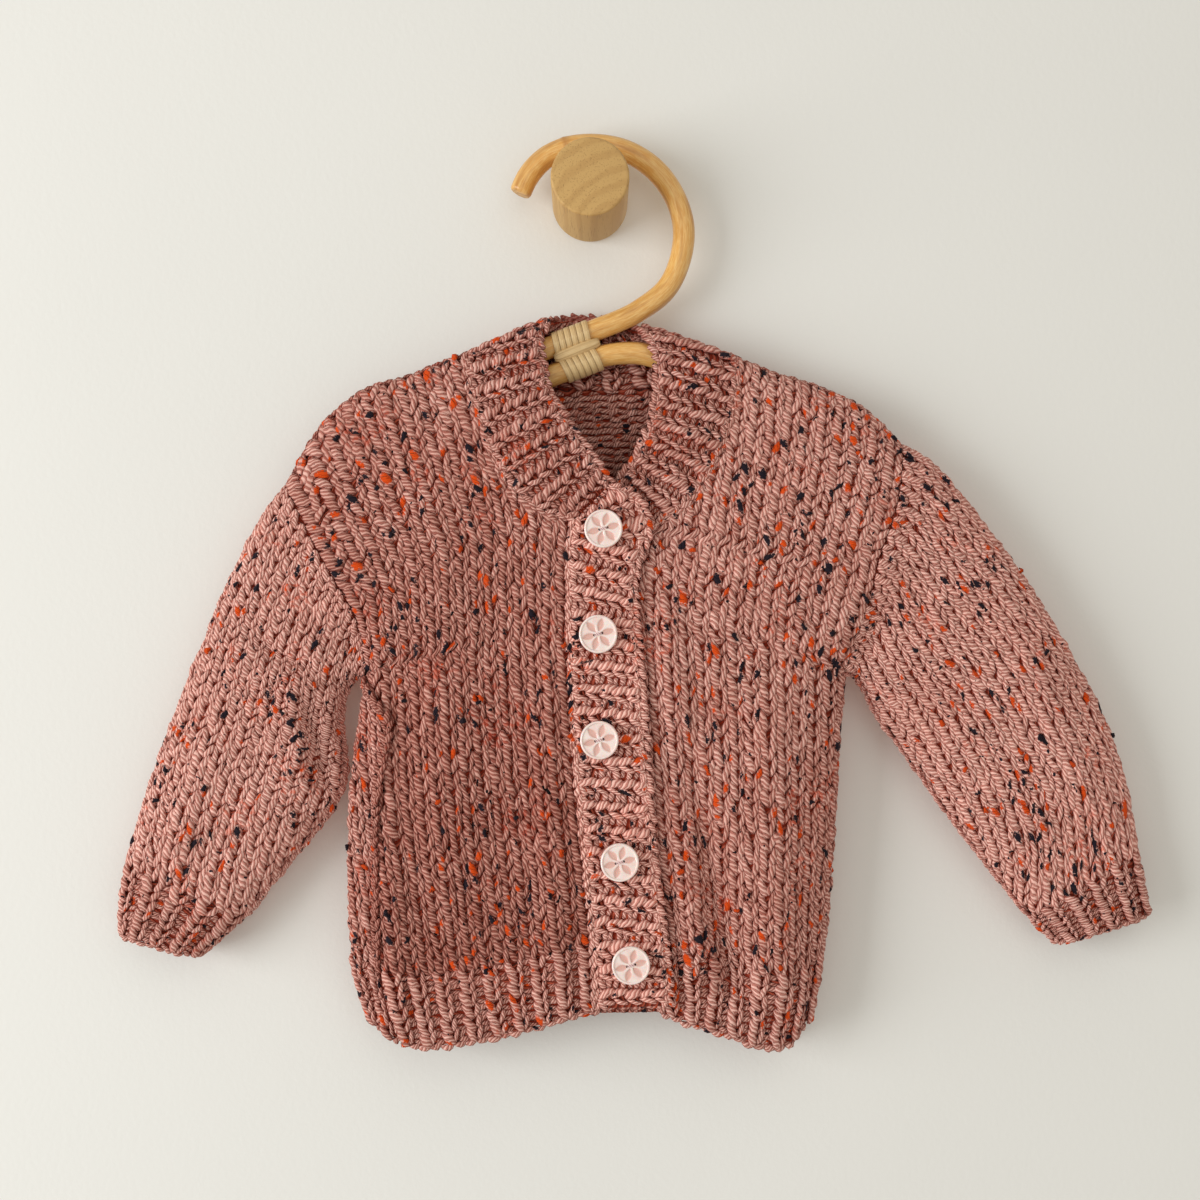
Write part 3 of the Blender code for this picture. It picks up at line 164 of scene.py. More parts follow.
SLEEVE_RIGHT = rows_of(
    SleeveRing,
    (2.5, (-0.1455, -0.1435), (-0.1070, -0.2190), 0.0150, 0.0110),
    (5.0, (-0.1530, -0.1570), (-0.1124, -0.2258), 0.0155, 0.0118),
    (8.0, (-0.1610, -0.1735), (-0.1148, -0.2365), 0.0158, 0.0120),
    (12.0, (-0.1702, -0.1942), (-0.1142, -0.2495), 0.0158, 0.0120),
    (16.0, (-0.1790, -0.2155), (-0.1128, -0.2615), 0.0156, 0.0118),
    (20.0, (-0.1878, -0.2378), (-0.1162, -0.2748), 0.0152, 0.0114),
    (24.0, (-0.1962, -0.2605), (-0.1275, -0.2900), 0.0148, 0.0110),
    (28.0, (-0.2038, -0.2835), (-0.1435, -0.3090), 0.0143, 0.0104),
    (31.5, (-0.2100, -0.3055), (-0.1590, -0.3285), 0.0138, 0.0098),
    (37.0, (-0.2139, -0.3360), (-0.1786, -0.3464), 0.0136, 0.0096),
)
SLEEVE_LEFT = rows_of(
    SleeveRing,
    (2.5, (0.1535, -0.1220), (0.1212, -0.2183), 0.0150, 0.0110),
    (5.0, (0.1645, -0.1340), (0.1270, -0.2262), 0.0155, 0.0118),
    (8.0, (0.1770, -0.1492), (0.1335, -0.2385), 0.0158, 0.0120),
    (12.0, (0.1920, -0.1692), (0.1445, -0.2530), 0.0158, 0.0120),
    (16.0, (0.2065, -0.1910), (0.1560, -0.2690), 0.0156, 0.0118),
    (20.0, (0.2200, -0.2145), (0.1675, -0.2850), 0.0152, 0.0114),
    (24.0, (0.2325, -0.2385), (0.1790, -0.3000), 0.0148, 0.0110),
    (28.0, (0.2425, -0.2670), (0.1905, -0.3140), 0.0143, 0.0104),
    (31.5, (0.2486, -0.2990), (0.2015, -0.3275), 0.0138, 0.0098),
    (37.0, (0.2536, -0.3270), (0.2140, -0.3406), 0.0136, 0.0096),
)
CUFF_BLEND_ROWS = 7.0  # a sleeve has its own girth from this row on

# Cross lines of the strip that edges each front and the neck, from the hem up. Seam is where it is sewn
# on, and edge is its free edge. The last of a front band is the first of the neckband.
BUTTONHOLE_LINES = rows_of(
    CrossLine,
    ((0.0045, -0.3695), (0.0350, -0.3668)), ((0.0036, -0.3450), (0.0335, -0.3450)),
    ((-0.0009, -0.3020), (0.0281, -0.3040)), ((-0.0059, -0.2480), (0.0240, -0.2510)),
    ((-0.0082, -0.2050), (0.0210, -0.2100)), ((-0.0086, -0.1750), (0.0192, -0.1840)),
    ((-0.0080, -0.1615), (0.0205, -0.1700)), ((-0.0070, -0.1550), (0.0253, -0.1555)),
    ((-0.0062, -0.1520), (0.0215, -0.1425)), ((-0.0054, -0.1501), (0.0086, -0.1351)),
)
BUTTON_LINES = rows_of(
    CrossLine,
    ((0.0320, -0.3715), (0.0015, -0.3710)), ((0.0305, -0.3450), (0.0006, -0.3450)),
    ((0.0251, -0.3040), (-0.0039, -0.3030)), ((0.0210, -0.2510), (-0.0089, -0.2490)),
    ((0.0183, -0.2100), (-0.0112, -0.2060)), ((0.0168, -0.1840), (-0.0116, -0.1780)),
    ((0.0175, -0.1700), (-0.0116, -0.1630)), ((0.0190, -0.1635), (-0.0110, -0.1505)),
    ((0.0200, -0.1600), (-0.0030, -0.1405)), ((0.0213, -0.1570), (0.0086, -0.1365)),
)
NECK_FRONT_RIGHT = rows_of(
    NeckLine,
    ((-0.0054, -0.1501), (0.0086, -0.1351), 0.0335), ((-0.0181, -0.1478), (0.0045, -0.1283), 0.0325),
    ((-0.0294, -0.1415), (-0.0009, -0.1202), 0.0308), ((-0.0385, -0.1301), (-0.0077, -0.1111), 0.0290),
    ((-0.0448, -0.1152), (-0.0145, -0.1002), 0.0270), ((-0.0505, -0.1002), (-0.0196, -0.0894), 0.0248),
    ((-0.0538, -0.0866), (-0.0218, -0.0785), 0.0225), ((-0.0548, -0.0775), (-0.0236, -0.0695), 0.0208),
)
NECK_BACK = rows_of(
    NeckLine,
    ((-0.0544, -0.0735), (-0.0200, -0.0590), 0.0145), ((-0.0510, -0.0780), (-0.0175, -0.0565), 0.0085),
    ((-0.0330, -0.0850), (-0.0105, -0.0553), 0.0048), ((0.0060, -0.0890), (0.0050, -0.0552), 0.0042),
    ((0.0440, -0.0860), (0.0155, -0.0580), 0.0048), ((0.0610, -0.0795), (0.0200, -0.0600), 0.0080),
    ((0.0650, -0.0755), (0.0240, -0.0620), 0.0130),
)
NECK_FRONT_LEFT = rows_of(
    NeckLine,
    ((0.0658, -0.0800), (0.0285, -0.0690), 0.0200), ((0.0656, -0.0880), (0.0312, -0.0780), 0.0228),
    ((0.0636, -0.1002), (0.0304, -0.0915), 0.0250), ((0.0598, -0.1129), (0.0290, -0.1030), 0.0265),
    ((0.0544, -0.1256), (0.0258, -0.1125), 0.0272), ((0.0476, -0.1370), (0.0217, -0.1211), 0.0273),
    ((0.0399, -0.1460), (0.0172, -0.1279), 0.0269), ((0.0294, -0.1523), (0.0131, -0.1324), 0.0265),
    ((0.0213, -0.1570), (0.0086, -0.1365), 0.0262),
)

FRONT_FOLDS = rows_of(
    Fold,
    ((-0.0960, -0.2150), (-0.0850, -0.3780), 0.0060, 0.0016),
    ((-0.0975, -0.2300), (-0.0950, -0.3700), 0.0045, -0.0014),
    ((-0.0190, -0.2250), (-0.0150, -0.3600), 0.0060, 0.0013),
    ((0.0330, -0.1900), (0.0500, -0.3600), 0.0065, 0.0018),
    ((0.0400, -0.2500), (0.0660, -0.3650), 0.0075, -0.0022),
    ((0.0800, -0.2300), (0.0840, -0.3700), 0.0100, 0.0018),
    ((-0.0700, -0.1300), (-0.0620, -0.3200), 0.0120, 0.0010),
    ((-0.1040, -0.1950), (-0.1010, -0.2150), 0.0045, -0.0030),
    ((0.1180, -0.2120), (0.1310, -0.1850), 0.0060, -0.0030),
    ((-0.1280, -0.2350), (-0.1200, -0.2700), 0.0050, -0.0022),
    ((-0.1350, -0.2250), (-0.1290, -0.2650), 0.0050, 0.0014),
    ((-0.1230, -0.2180), (-0.1500, -0.2050), 0.0050, -0.0018),
    ((0.1400, -0.2250), (0.1750, -0.2300), 0.0070, -0.0016),
    ((0.1950, -0.2050), (0.2230, -0.2800), 0.0100, 0.0012),
    ((-0.1720, -0.2500), (-0.1900, -0.3050), 0.0090, 0.0010),
)
BACK_FOLDS = rows_of(
    Fold,
    ((-0.0600, -0.2300), (-0.0500, -0.3700), 0.0090, 0.0012),
    ((0.0550, -0.2200), (0.0480, -0.3600), 0.0100, 0.0014),
    ((0.0000, -0.1500), (0.0050, -0.2800), 0.0120, 0.0010),
)
FOLD_END = 0.018  # a fold dies away over this length at each end
TOP_KEEP = 0.25  # rows that a stitch's middle lies below a piece's top
ROW_MARKS = 201  # rows from hem to shoulder at which the cloth is measured
LINE_MARKS = 400  # points of a line that is measured
TO_ROOM = (0, -1, 0)
TO_WALL = (0, 1, 0)

BUTTON_PLACES = (
    (0.0059, -0.1551), (0.0036, -0.2017), (0.0041, -0.2484), (0.0131, -0.3023), (0.0181, -0.3480),
)

HOOK_ROUTE = (  # centre line (x, z), from the cut end over the peg and down towards the binding
    (-0.0321, 0.0010), (-0.0285, 0.0085), (-0.0197, 0.0178), (-0.0095, 0.0221), (0.0010, 0.0231),
    (0.0160, 0.0206), (0.0298, 0.0118), (0.0390, -0.0010), (0.0428, -0.0141), (0.0415, -0.0283),
    (0.0350, -0.0425), (0.0225, -0.0525),
)
HOOK_TAIL = 0.006  # of the hook beyond the binding
BOW_RIGHT_ROUTE = ((-0.0540, -0.0905), (-0.0360, -0.0875), (-0.0240, -0.0848))
BOW_LEFT_ROUTE = ((0.0130, -0.0722), (0.0230, -0.0722), (0.0330, -0.0748), (0.0470, -0.0800))
BOW_SEATS_RIGHT = (-0.86, -0.80, -0.72)  # places across where the bow runs close under the shoulder
BOW_SEATS_LEFT = (0.58, 0.66, 0.74, 0.82, 0.89)
BOW_CLEARANCE = 0.0008
BINDING_CENTRE = (-0.0064, -0.0715)
BINDING_SLOPE = math.radians(21.0)
CANE_SPACING = 0.0124


# ---- curves ----
def srgb(red: float, green: float, blue: float) -> Colour:
    """Linear colour of an 8-bit display colour."""
    return tuple((value / 255 / 12.92) if value <= 10.3 else ((value / 255 + 0.055) / 1.055) ** 2.4
                 for value in (red, green, blue))


def through(at: Array, knots: Sequence, values: Sequence) -> Array:
    """Values on a smooth curve through knots.

    Args:
        at: where the curve is read.
        knots: rising places of the known values.
        values: one value, or one row of values, for each knot.

    Returns:
        The curve's value, or row of values, at each place.
    """
    knots = np.asarray(knots, float)
    values = np.asarray(values, float)
    at = np.clip(np.asarray(at, float), knots[0], knots[-1])
    slopes = np.gradient(values, knots, axis=0)
    left = np.clip(np.searchsorted(knots, at, side="right") - 1, 0, len(knots) - 2)
    width = knots[left + 1] - knots[left]
    part = (at - knots[left]) / width
    if values.ndim > 1:
        width = width[..., None]
        part = part[..., None]
    rise = values[left + 1] - values[left]
    start = slopes[left] * width
    end = slopes[left + 1] * width
    square, cube = 3 * rise - 2 * start - end, start + end - 2 * rise
    return values[left] + part * start + part**2 * square + part**3 * cube


def column(table: Sequence, name: str) -> Array:
    """One named column of a table, as an array."""
    return np.array([getattr(row, name) for row in table], float)


def from_table(table: Sequence, at: Array, name: str) -> Array:
    """A named column of a table, read at rows on a smooth curve."""
    return through(at, column(table, "row"), column(table, name))


def smooth_step(value: Array) -> Array:
    """0 below 0, 1 above 1, and a smooth rise between."""
    value = np.clip(value, 0.0, 1.0)
    return value * value * (3 - 2 * value)


def edge_curve(share: Array, power: float) -> Array:
    """Height of a rounded edge: 0 at the edge, upright there, and 1 from a share of 1 on."""
    return (1 - (1 - np.clip(share, 0.0, 1.0)) ** power) ** (1 / power)


def unit(vectors: Array) -> Array:
    """The vectors at length 1."""
    return vectors / np.maximum(np.linalg.norm(vectors, axis=-1, keepdims=True), 1e-12)


def lengths_along(points: Array) -> Array:
    """Distance along a polyline at each of its points, over the last axis but one."""
    steps = np.linalg.norm(np.diff(points, axis=-2), axis=-1)
    return np.concatenate((np.zeros(steps.shape[:-1] + (1,)), np.cumsum(steps, axis=-1)), axis=-1)


def on_polyline(points: Array, at: Array, marks: Array) -> Array:
    """Points of a polyline where its marks reach the given values."""
    return np.stack([np.interp(at, marks, points[:, axis]) for axis in range(3)], axis=-1)


# ---- the cloth's surface ----
@dataclass(frozen=True)
class Cloth:
    """The middle surface of the knitted cloth: the solids' own, with deeper folds and eased slopes.

    A body row runs round the garment: run 0 to 1 is the front, from the wearer's right edge to the left one,
    and run -1 to 0 is the back, the other way.
    """

    row_height_m: float = 0.0056
    side_rounding: float = 0.055
    shoulder_rounding: float = 0.014
    edge_power: float = 2.4
    armhole_opening: float = 1.2
    sleeve_rounding: float = 0.42
    sleeve_power: float = 2.2
    side_seam_run: float = 0.065
    side_seam_turn_row: float = 23.0
    fold_relief: float = 2.0
    lap_lift: float = 0.0023
    lap_reach: float = 0.022
    lap_fade_low: float = -0.150
    lap_fade_high: float = -0.115
    sleeve_bend_rows: float = 10.0  # from the armhole, over which a sleeve's rows keep its curve
    place_rounds: int = 6

    def row_height(self, across: Array, row: Array) -> Array:
        """Height of the cloth at places across and rows, eased where its slope changes."""
        heights = np.stack([through(across, ACROSS, line.heights) for line in ROW_LINES])
        marks = column(ROW_LINES, "row")
        total = 0.0
        for ease in ROW_EASE:
            near = np.broadcast_to(row, np.shape(across)) + ease
            low = np.clip(np.searchsorted(marks, near, side="right") - 1, 0, len(marks) - 2)
            part = (near - marks[low]) / (marks[low + 1] - marks[low])
            below = np.take_along_axis(heights, low[None], axis=0)[0]
            above = np.take_along_axis(heights, low[None] + 1, axis=0)[0]
            total = total + (below + part * (above - below)) / len(ROW_EASE)
        return total

    def side_edges(self, row: Array) -> tuple[Array, Array]:
        """x of both sides at a row."""
        return from_table(SIDE_EDGES, row, "right"), from_table(SIDE_EDGES, row, "left")

    def fold_depth(self, x: Array, z: Array, folds: Sequence[Fold]) -> Array:
        """Sum of the folds' relief at places seen from the front."""
        total = np.zeros(np.shape(x))
        for fold in folds:
            start = np.array(fold.start)
            along = np.array(fold.end) - start
            length = np.hypot(*along)
            along = along / length
            reach = (x - start[0]) * along[0] + (z - start[1]) * along[1]
            aside = (x - start[0]) * along[1] - (z - start[1]) * along[0]
            ends = smooth_step(reach / FOLD_END + 0.5) * smooth_step((length - reach) / FOLD_END + 0.5)
            total = total + fold.height * ends * np.exp(-((aside / fold.width) ** 2))
        return self.fold_relief * total

    def lap_fade(self, z: Array) -> Array:
        """How much of the overlap of the front bands is left at a height."""
        return 1 - smooth_step((z - self.lap_fade_low) / (self.lap_fade_high - self.lap_fade_low))

    def lap_depth(self, x: Array, z: Array) -> Array:
        """How far a front stands forward or back towards the overlap of the bands."""
        right_seam = np.array([line.seam for line in BUTTONHOLE_LINES])
        left_seam = np.array([line.seam for line in BUTTON_LINES])
        right_x = np.interp(z, right_seam[:, 1], right_seam[:, 0])
        left_x = np.interp(z, left_seam[:, 1], left_seam[:, 0])
        to_right = np.clip(right_x - x, 0, None)
        to_left = np.clip(x - left_x, 0, None)
        lift = np.where(x < (right_x + left_x) / 2, np.exp(-((to_right / self.lap_reach) ** 2)),
                        -np.exp(-((to_left / self.lap_reach) ** 2)))
        return self.lap_lift * lift * self.lap_fade(z)

    def girth(self, across: Array, row: Array, x: Array, z: Array) -> tuple[Array, Array, Array]:
        """Middle depth, half depth and full half depth of the body at places across and rows."""
        middle, half = from_table(GIRTHS, row, "middle"), from_table(GIRTHS, row, "half")
        right_x, left_x = self.side_edges(row)
        opening = np.clip(row - UNDERARM_ROW, 0, None) * self.row_height_m * self.armhole_opening
        right = edge_curve((x - right_x + opening) / self.side_rounding, self.edge_power)
        left = edge_curve((left_x - x + opening) / self.side_rounding, self.edge_power)
        below = self.row_height(across, SHOULDER_ROW) - z
        top = edge_curve(below / self.shoulder_rounding, self.edge_power)
        return middle, half * right * left * top, half

    def point(self, run: Array, row: Array, lapped: bool = True) -> Array:
        """Points of the body's surface.

        Args:
            run: run round the garment. A run of -0.0 is on the back.
            row: knitted row, from the hem up.
            lapped: whether the fronts keep their overlap.

        Returns:
            One point for each run and row.
        """
        run, row = np.broadcast_arrays(np.asarray(run, float), np.asarray(row, float))
        across = 2 * np.abs(run) - 1
        right_x, left_x = self.side_edges(row)
        x = right_x + (across + 1) / 2 * (left_x - right_x)
        z = self.row_height(across, row)
        middle, half, full = self.girth(across, row, x, z)
        settled = np.clip(2 * half / full, 0, 1)
        lap = self.lap_depth(x, z) if lapped else 0.0
        front = middle + half + settled * (self.fold_depth(x, z, FRONT_FOLDS) + lap)
        back = middle - half + settled * self.fold_depth(x, z, BACK_FOLDS)
        return np.stack([x, -np.where(np.signbit(run), back, front), z], axis=-1)

    def place(self, x: Array, z: Array) -> tuple[Array, Array]:
        """Place across and row of the cloth at places seen from the front."""
        x, z = np.broadcast_arrays(np.asarray(x, float), np.asarray(z, float))
        marks = np.linspace(0, SHOULDER_ROW, ROW_MARKS)
        row = np.full(x.shape, UNDERARM_ROW)
        across = np.zeros(x.shape)
        for _ in range(self.place_rounds):
            right_x, left_x = self.side_edges(row)
            across = 2 * (x - right_x) / (left_x - right_x) - 1
            for index in np.ndindex(x.shape):
                heights = self.row_height(np.full(marks.shape, across[index]), marks)
                row[index] = np.interp(z[index], heights, marks)
        return across, row

    def front_depth(self, x: Array, z: Array) -> Array:
        """Depth of the front, without the overlap, at places seen from the front."""
        across, row = self.place(x, z)
        return -self.point((across + 1) / 2, row, lapped=False)[..., 1]

    def sleeve_point(self, rings: Sequence[SleeveRing], run: float, place: Array, row: Array) -> Array:
        """Points of a sleeve.

        Args:
            rings: the sleeve's sizes.
            run: 0 for the wearer's right armhole and 1 for the left one.
            place: counts the armhole's points round the ring, down the front and up the back.
            row: knitted row from the armhole to the cuff.

        Returns:
            One point for each place and row.
        """
        ring_rows = np.array(ARMHOLE_ROWS)[::-1]
        half_ring = len(ring_rows) - 1
        ring_shares = (SHOULDER_ROW - ring_rows) / (SHOULDER_ROW - UNDERARM_ROW)
        place, row = np.broadcast_arrays(np.asarray(place, float), np.asarray(row, float))
        on_front = place <= half_ring
        along = np.where(on_front, place, 2 * half_ring - place)
        share = np.interp(along, np.arange(half_ring + 1), ring_shares)
        body_row = SHOULDER_ROW - share * (SHOULDER_ROW - UNDERARM_ROW)
        armhole_front = self.point(np.full(place.shape, run), body_row)
        armhole_back = self.point(np.full(place.shape, -run), body_row)
        tip = self.point(run, SHOULDER_ROW)
        pit = self.point(run, UNDERARM_ROW)
        marks = np.concatenate(([0.0], column(rings, "row")))
        outer = through(row, marks, np.array([tip[[0, 2]]] + [ring.outer for ring in rings]))
        inner = through(row, marks, np.array([pit[[0, 2]]] + [ring.inner for ring in rings]))
        middle = through(row, marks, np.concatenate(([GIRTHS[-1].middle], column(rings, "middle"))))
        full = through(row, marks, np.concatenate(([GIRTHS[-1].half], column(rings, "half"))))
        seen = outer + share[..., None] * (inner - outer)
        straight = tip[[0, 2]] + share[..., None] * (pit[[0, 2]] - tip[[0, 2]])
        bend = 1 - smooth_step(row / self.sleeve_bend_rows)
        seen = seen + bend[..., None] * (armhole_front[..., [0, 2]] - straight)
        half = full * edge_curve(np.minimum(share, 1 - share) / self.sleeve_rounding, self.sleeve_power)
        folds = np.where(on_front, self.fold_depth(seen[..., 0], seen[..., 1], FRONT_FOLDS), 0.0)
        own = middle + np.where(on_front, half, -half) + np.clip(2 * half / full, 0, 1) * folds
        start = -np.where(on_front, armhole_front[..., 1], armhole_back[..., 1])
        depth = start + smooth_step(row / CUFF_BLEND_ROWS) * (own - start)
        return np.stack([seen[..., 0], -depth, seen[..., 1]], axis=-1)

    def front_seam_run(self, row: Array, on_right: bool) -> Array:
        """Run of a front's seam with its band and the neckband, at each row."""
        band, neck = (BUTTONHOLE_LINES, NECK_FRONT_RIGHT) if on_right else (BUTTON_LINES, NECK_FRONT_LEFT)
        seam = np.array([line.seam for line in band[:-1] + neck])
        across, rows = self.place(seam[:, 0], seam[:, 1])
        order = np.argsort(rows)
        rows = np.concatenate((rows[order], [SHOULDER_ROW]))
        limit = np.concatenate((across[order], [CORNER_RIGHT if on_right else CORNER_LEFT]))
        return (np.interp(row, rows, limit) + 1) / 2

    def side_run(self, row: Array) -> Array:
        """Run of the wearer's right side seam, which lies a little round the front."""
        turn = smooth_step((row - self.side_seam_turn_row) / (UNDERARM_ROW - self.side_seam_turn_row))
        return np.where(np.asarray(row) < UNDERARM_ROW, self.side_seam_run * (1 - turn), 0.0)

    def neck_limit(self, across: Array) -> Array:
        """Greatest row of the back at places across, between the shoulders."""
        seam = np.array([line.seam for line in NECK_BACK[1:-1]])
        known, rows = self.place(seam[:, 0], seam[:, 1])
        order = np.argsort(known)
        known = np.concatenate(([CORNER_RIGHT], known[order], [CORNER_LEFT]))
        rows = np.concatenate(([SHOULDER_ROW], rows[order], [SHOULDER_ROW]))
        return np.interp(across, known, rows)


# ---- marked-out cloth ----
@dataclass
class Patch:
    """Part of the cloth, marked out in evenly spaced knitted columns (u) and rows (v).

    Rows are counted the way it is knitted. Seen from outside, u grows to the right where v points up.
    """

    points: Array  # (rows, columns, 3)
    columns: Array
    rows: Array
    low: Array | float  # least u of the piece, at each row or at all
    high: Array | float
    top: Array | float  # greatest v of the piece, at each column or at all
    pitch: float = 0.0070  # of one column
    rise: float = 0.0056  # of one row
    spill: float = -0.05  # rows that a stitch may stand past the top
    overhang: float = 0.04  # columns that it may stand past the sides
    most_shear: float = 1.5
    normals: Array = field(init=False)

    def __post_init__(self) -> None:
        """Spreads the limits over the grid and works out its normals."""
        self.low, self.high = (np.zeros(len(self.rows)) + side for side in (self.low, self.high))
        self.top = np.zeros(len(self.columns)) + self.top
        along_u = np.gradient(self.points, axis=1)
        along_v = np.gradient(self.points, axis=0)
        self.normals = unit(np.cross(along_u, along_v))

    def turned(self, towards: Sequence[float], share: float = 0.5) -> "Patch":
        """The patch, or its inside if that is what faces the given way at a share of its columns."""
        normal = self.normals[len(self.rows) // 2, int(share * len(self.columns))]
        return self if normal @ np.array(towards) > 0 else self.inside()

    def inside(self) -> "Patch":
        """The same cloth seen from its other side."""
        return replace(self, points=self.points[:, ::-1], columns=-self.columns[::-1], low=-self.high,
                       high=-self.low, top=self.top[::-1])

    def read(self, grid: Array, u: Array, v: Array) -> Array:
        """Bilinear values of a grid at columns and rows, carried on a little past its borders."""
        i = np.clip((v - self.rows[0]) / (self.rows[1] - self.rows[0]), -4, len(self.rows) + 3)
        j = np.clip((u - self.columns[0]) / (self.columns[1] - self.columns[0]), 0, len(self.columns) - 1.001)
        i0 = np.clip(i.astype(int), 0, len(self.rows) - 2)
        j0 = j.astype(int)
        di, dj = (i - i0)[..., None], (j - j0)[..., None]
        return ((1 - di) * ((1 - dj) * grid[i0, j0] + dj * grid[i0, j0 + 1])
                + di * ((1 - dj) * grid[i0 + 1, j0] + dj * grid[i0 + 1, j0 + 1]))

    def place(self, u: Array, v: Array, height: Array) -> Array:
        """Points at columns and rows, and at a height over the middle surface."""
        return self.read(self.points, u, v) + height[..., None] * unit(self.read(self.normals, u, v))

    def limits(self, v: Array) -> tuple[Array, Array]:
        """Least and greatest u of the piece at rows."""
        return np.interp(v, self.rows, self.low), np.interp(v, self.rows, self.high)

    def across(self, share: Array, v: Array) -> Array:
        """Columns at a share of the way across the piece, at rows."""
        low, high = self.limits(v)
        return low + share * (high - low)

    def shear(self, u: Array, v: Array) -> Array:
        """Rows that a step of one column climbs along the columns, where rows and columns aren't square."""
        step = 0.25
        along_u = self.read(self.points, u + step, v) - self.read(self.points, u - step, v)
        along_v = self.read(self.points, u, v + step) - self.read(self.points, u, v - step)
        slope = (along_u * along_v).sum(axis=-1) / np.maximum((along_v**2).sum(axis=-1), 1e-9)
        return np.clip(slope, -self.most_shear, self.most_shear)

    def clipped(self, u: Array, v: Array) -> tuple[Array, Array]:
        """The columns and rows drawn in to the piece's outline."""
        v = np.minimum(v, np.interp(u, self.columns, self.top) + self.spill)
        low, high = self.limits(v)
        return np.clip(u, low - self.overhang, high + self.overhang), v

    def cells(self, first: float, step: float = 1.0, keep: float = 0.12) -> Array:
        """Middles (u, v) of the stitches that lie inside the outline.

        Args:
            first: u of any one column's middle.
            step: columns from one stitch to the next.
            keep: how far inside the outline a middle must lie.

        Returns:
            One (u, v) for each stitch.
        """
        count = round(self.rows[-1] - self.rows[0])
        v = self.rows[0] + (np.arange(count) + 0.5) * (self.rows[-1] - self.rows[0]) / count
        start = first + step * math.ceil((self.columns[0] - first) / step)
        u = np.arange(start, self.columns[-1], step)
        u, v = (grid.ravel() for grid in np.meshgrid(u, v))
        low, high = self.limits(v)
        below = np.interp(u, self.columns, self.top) - TOP_KEEP
        inside = (u > low + keep) & (u < high - keep) & (v < below)
        return np.stack([u[inside], v[inside]], axis=1)


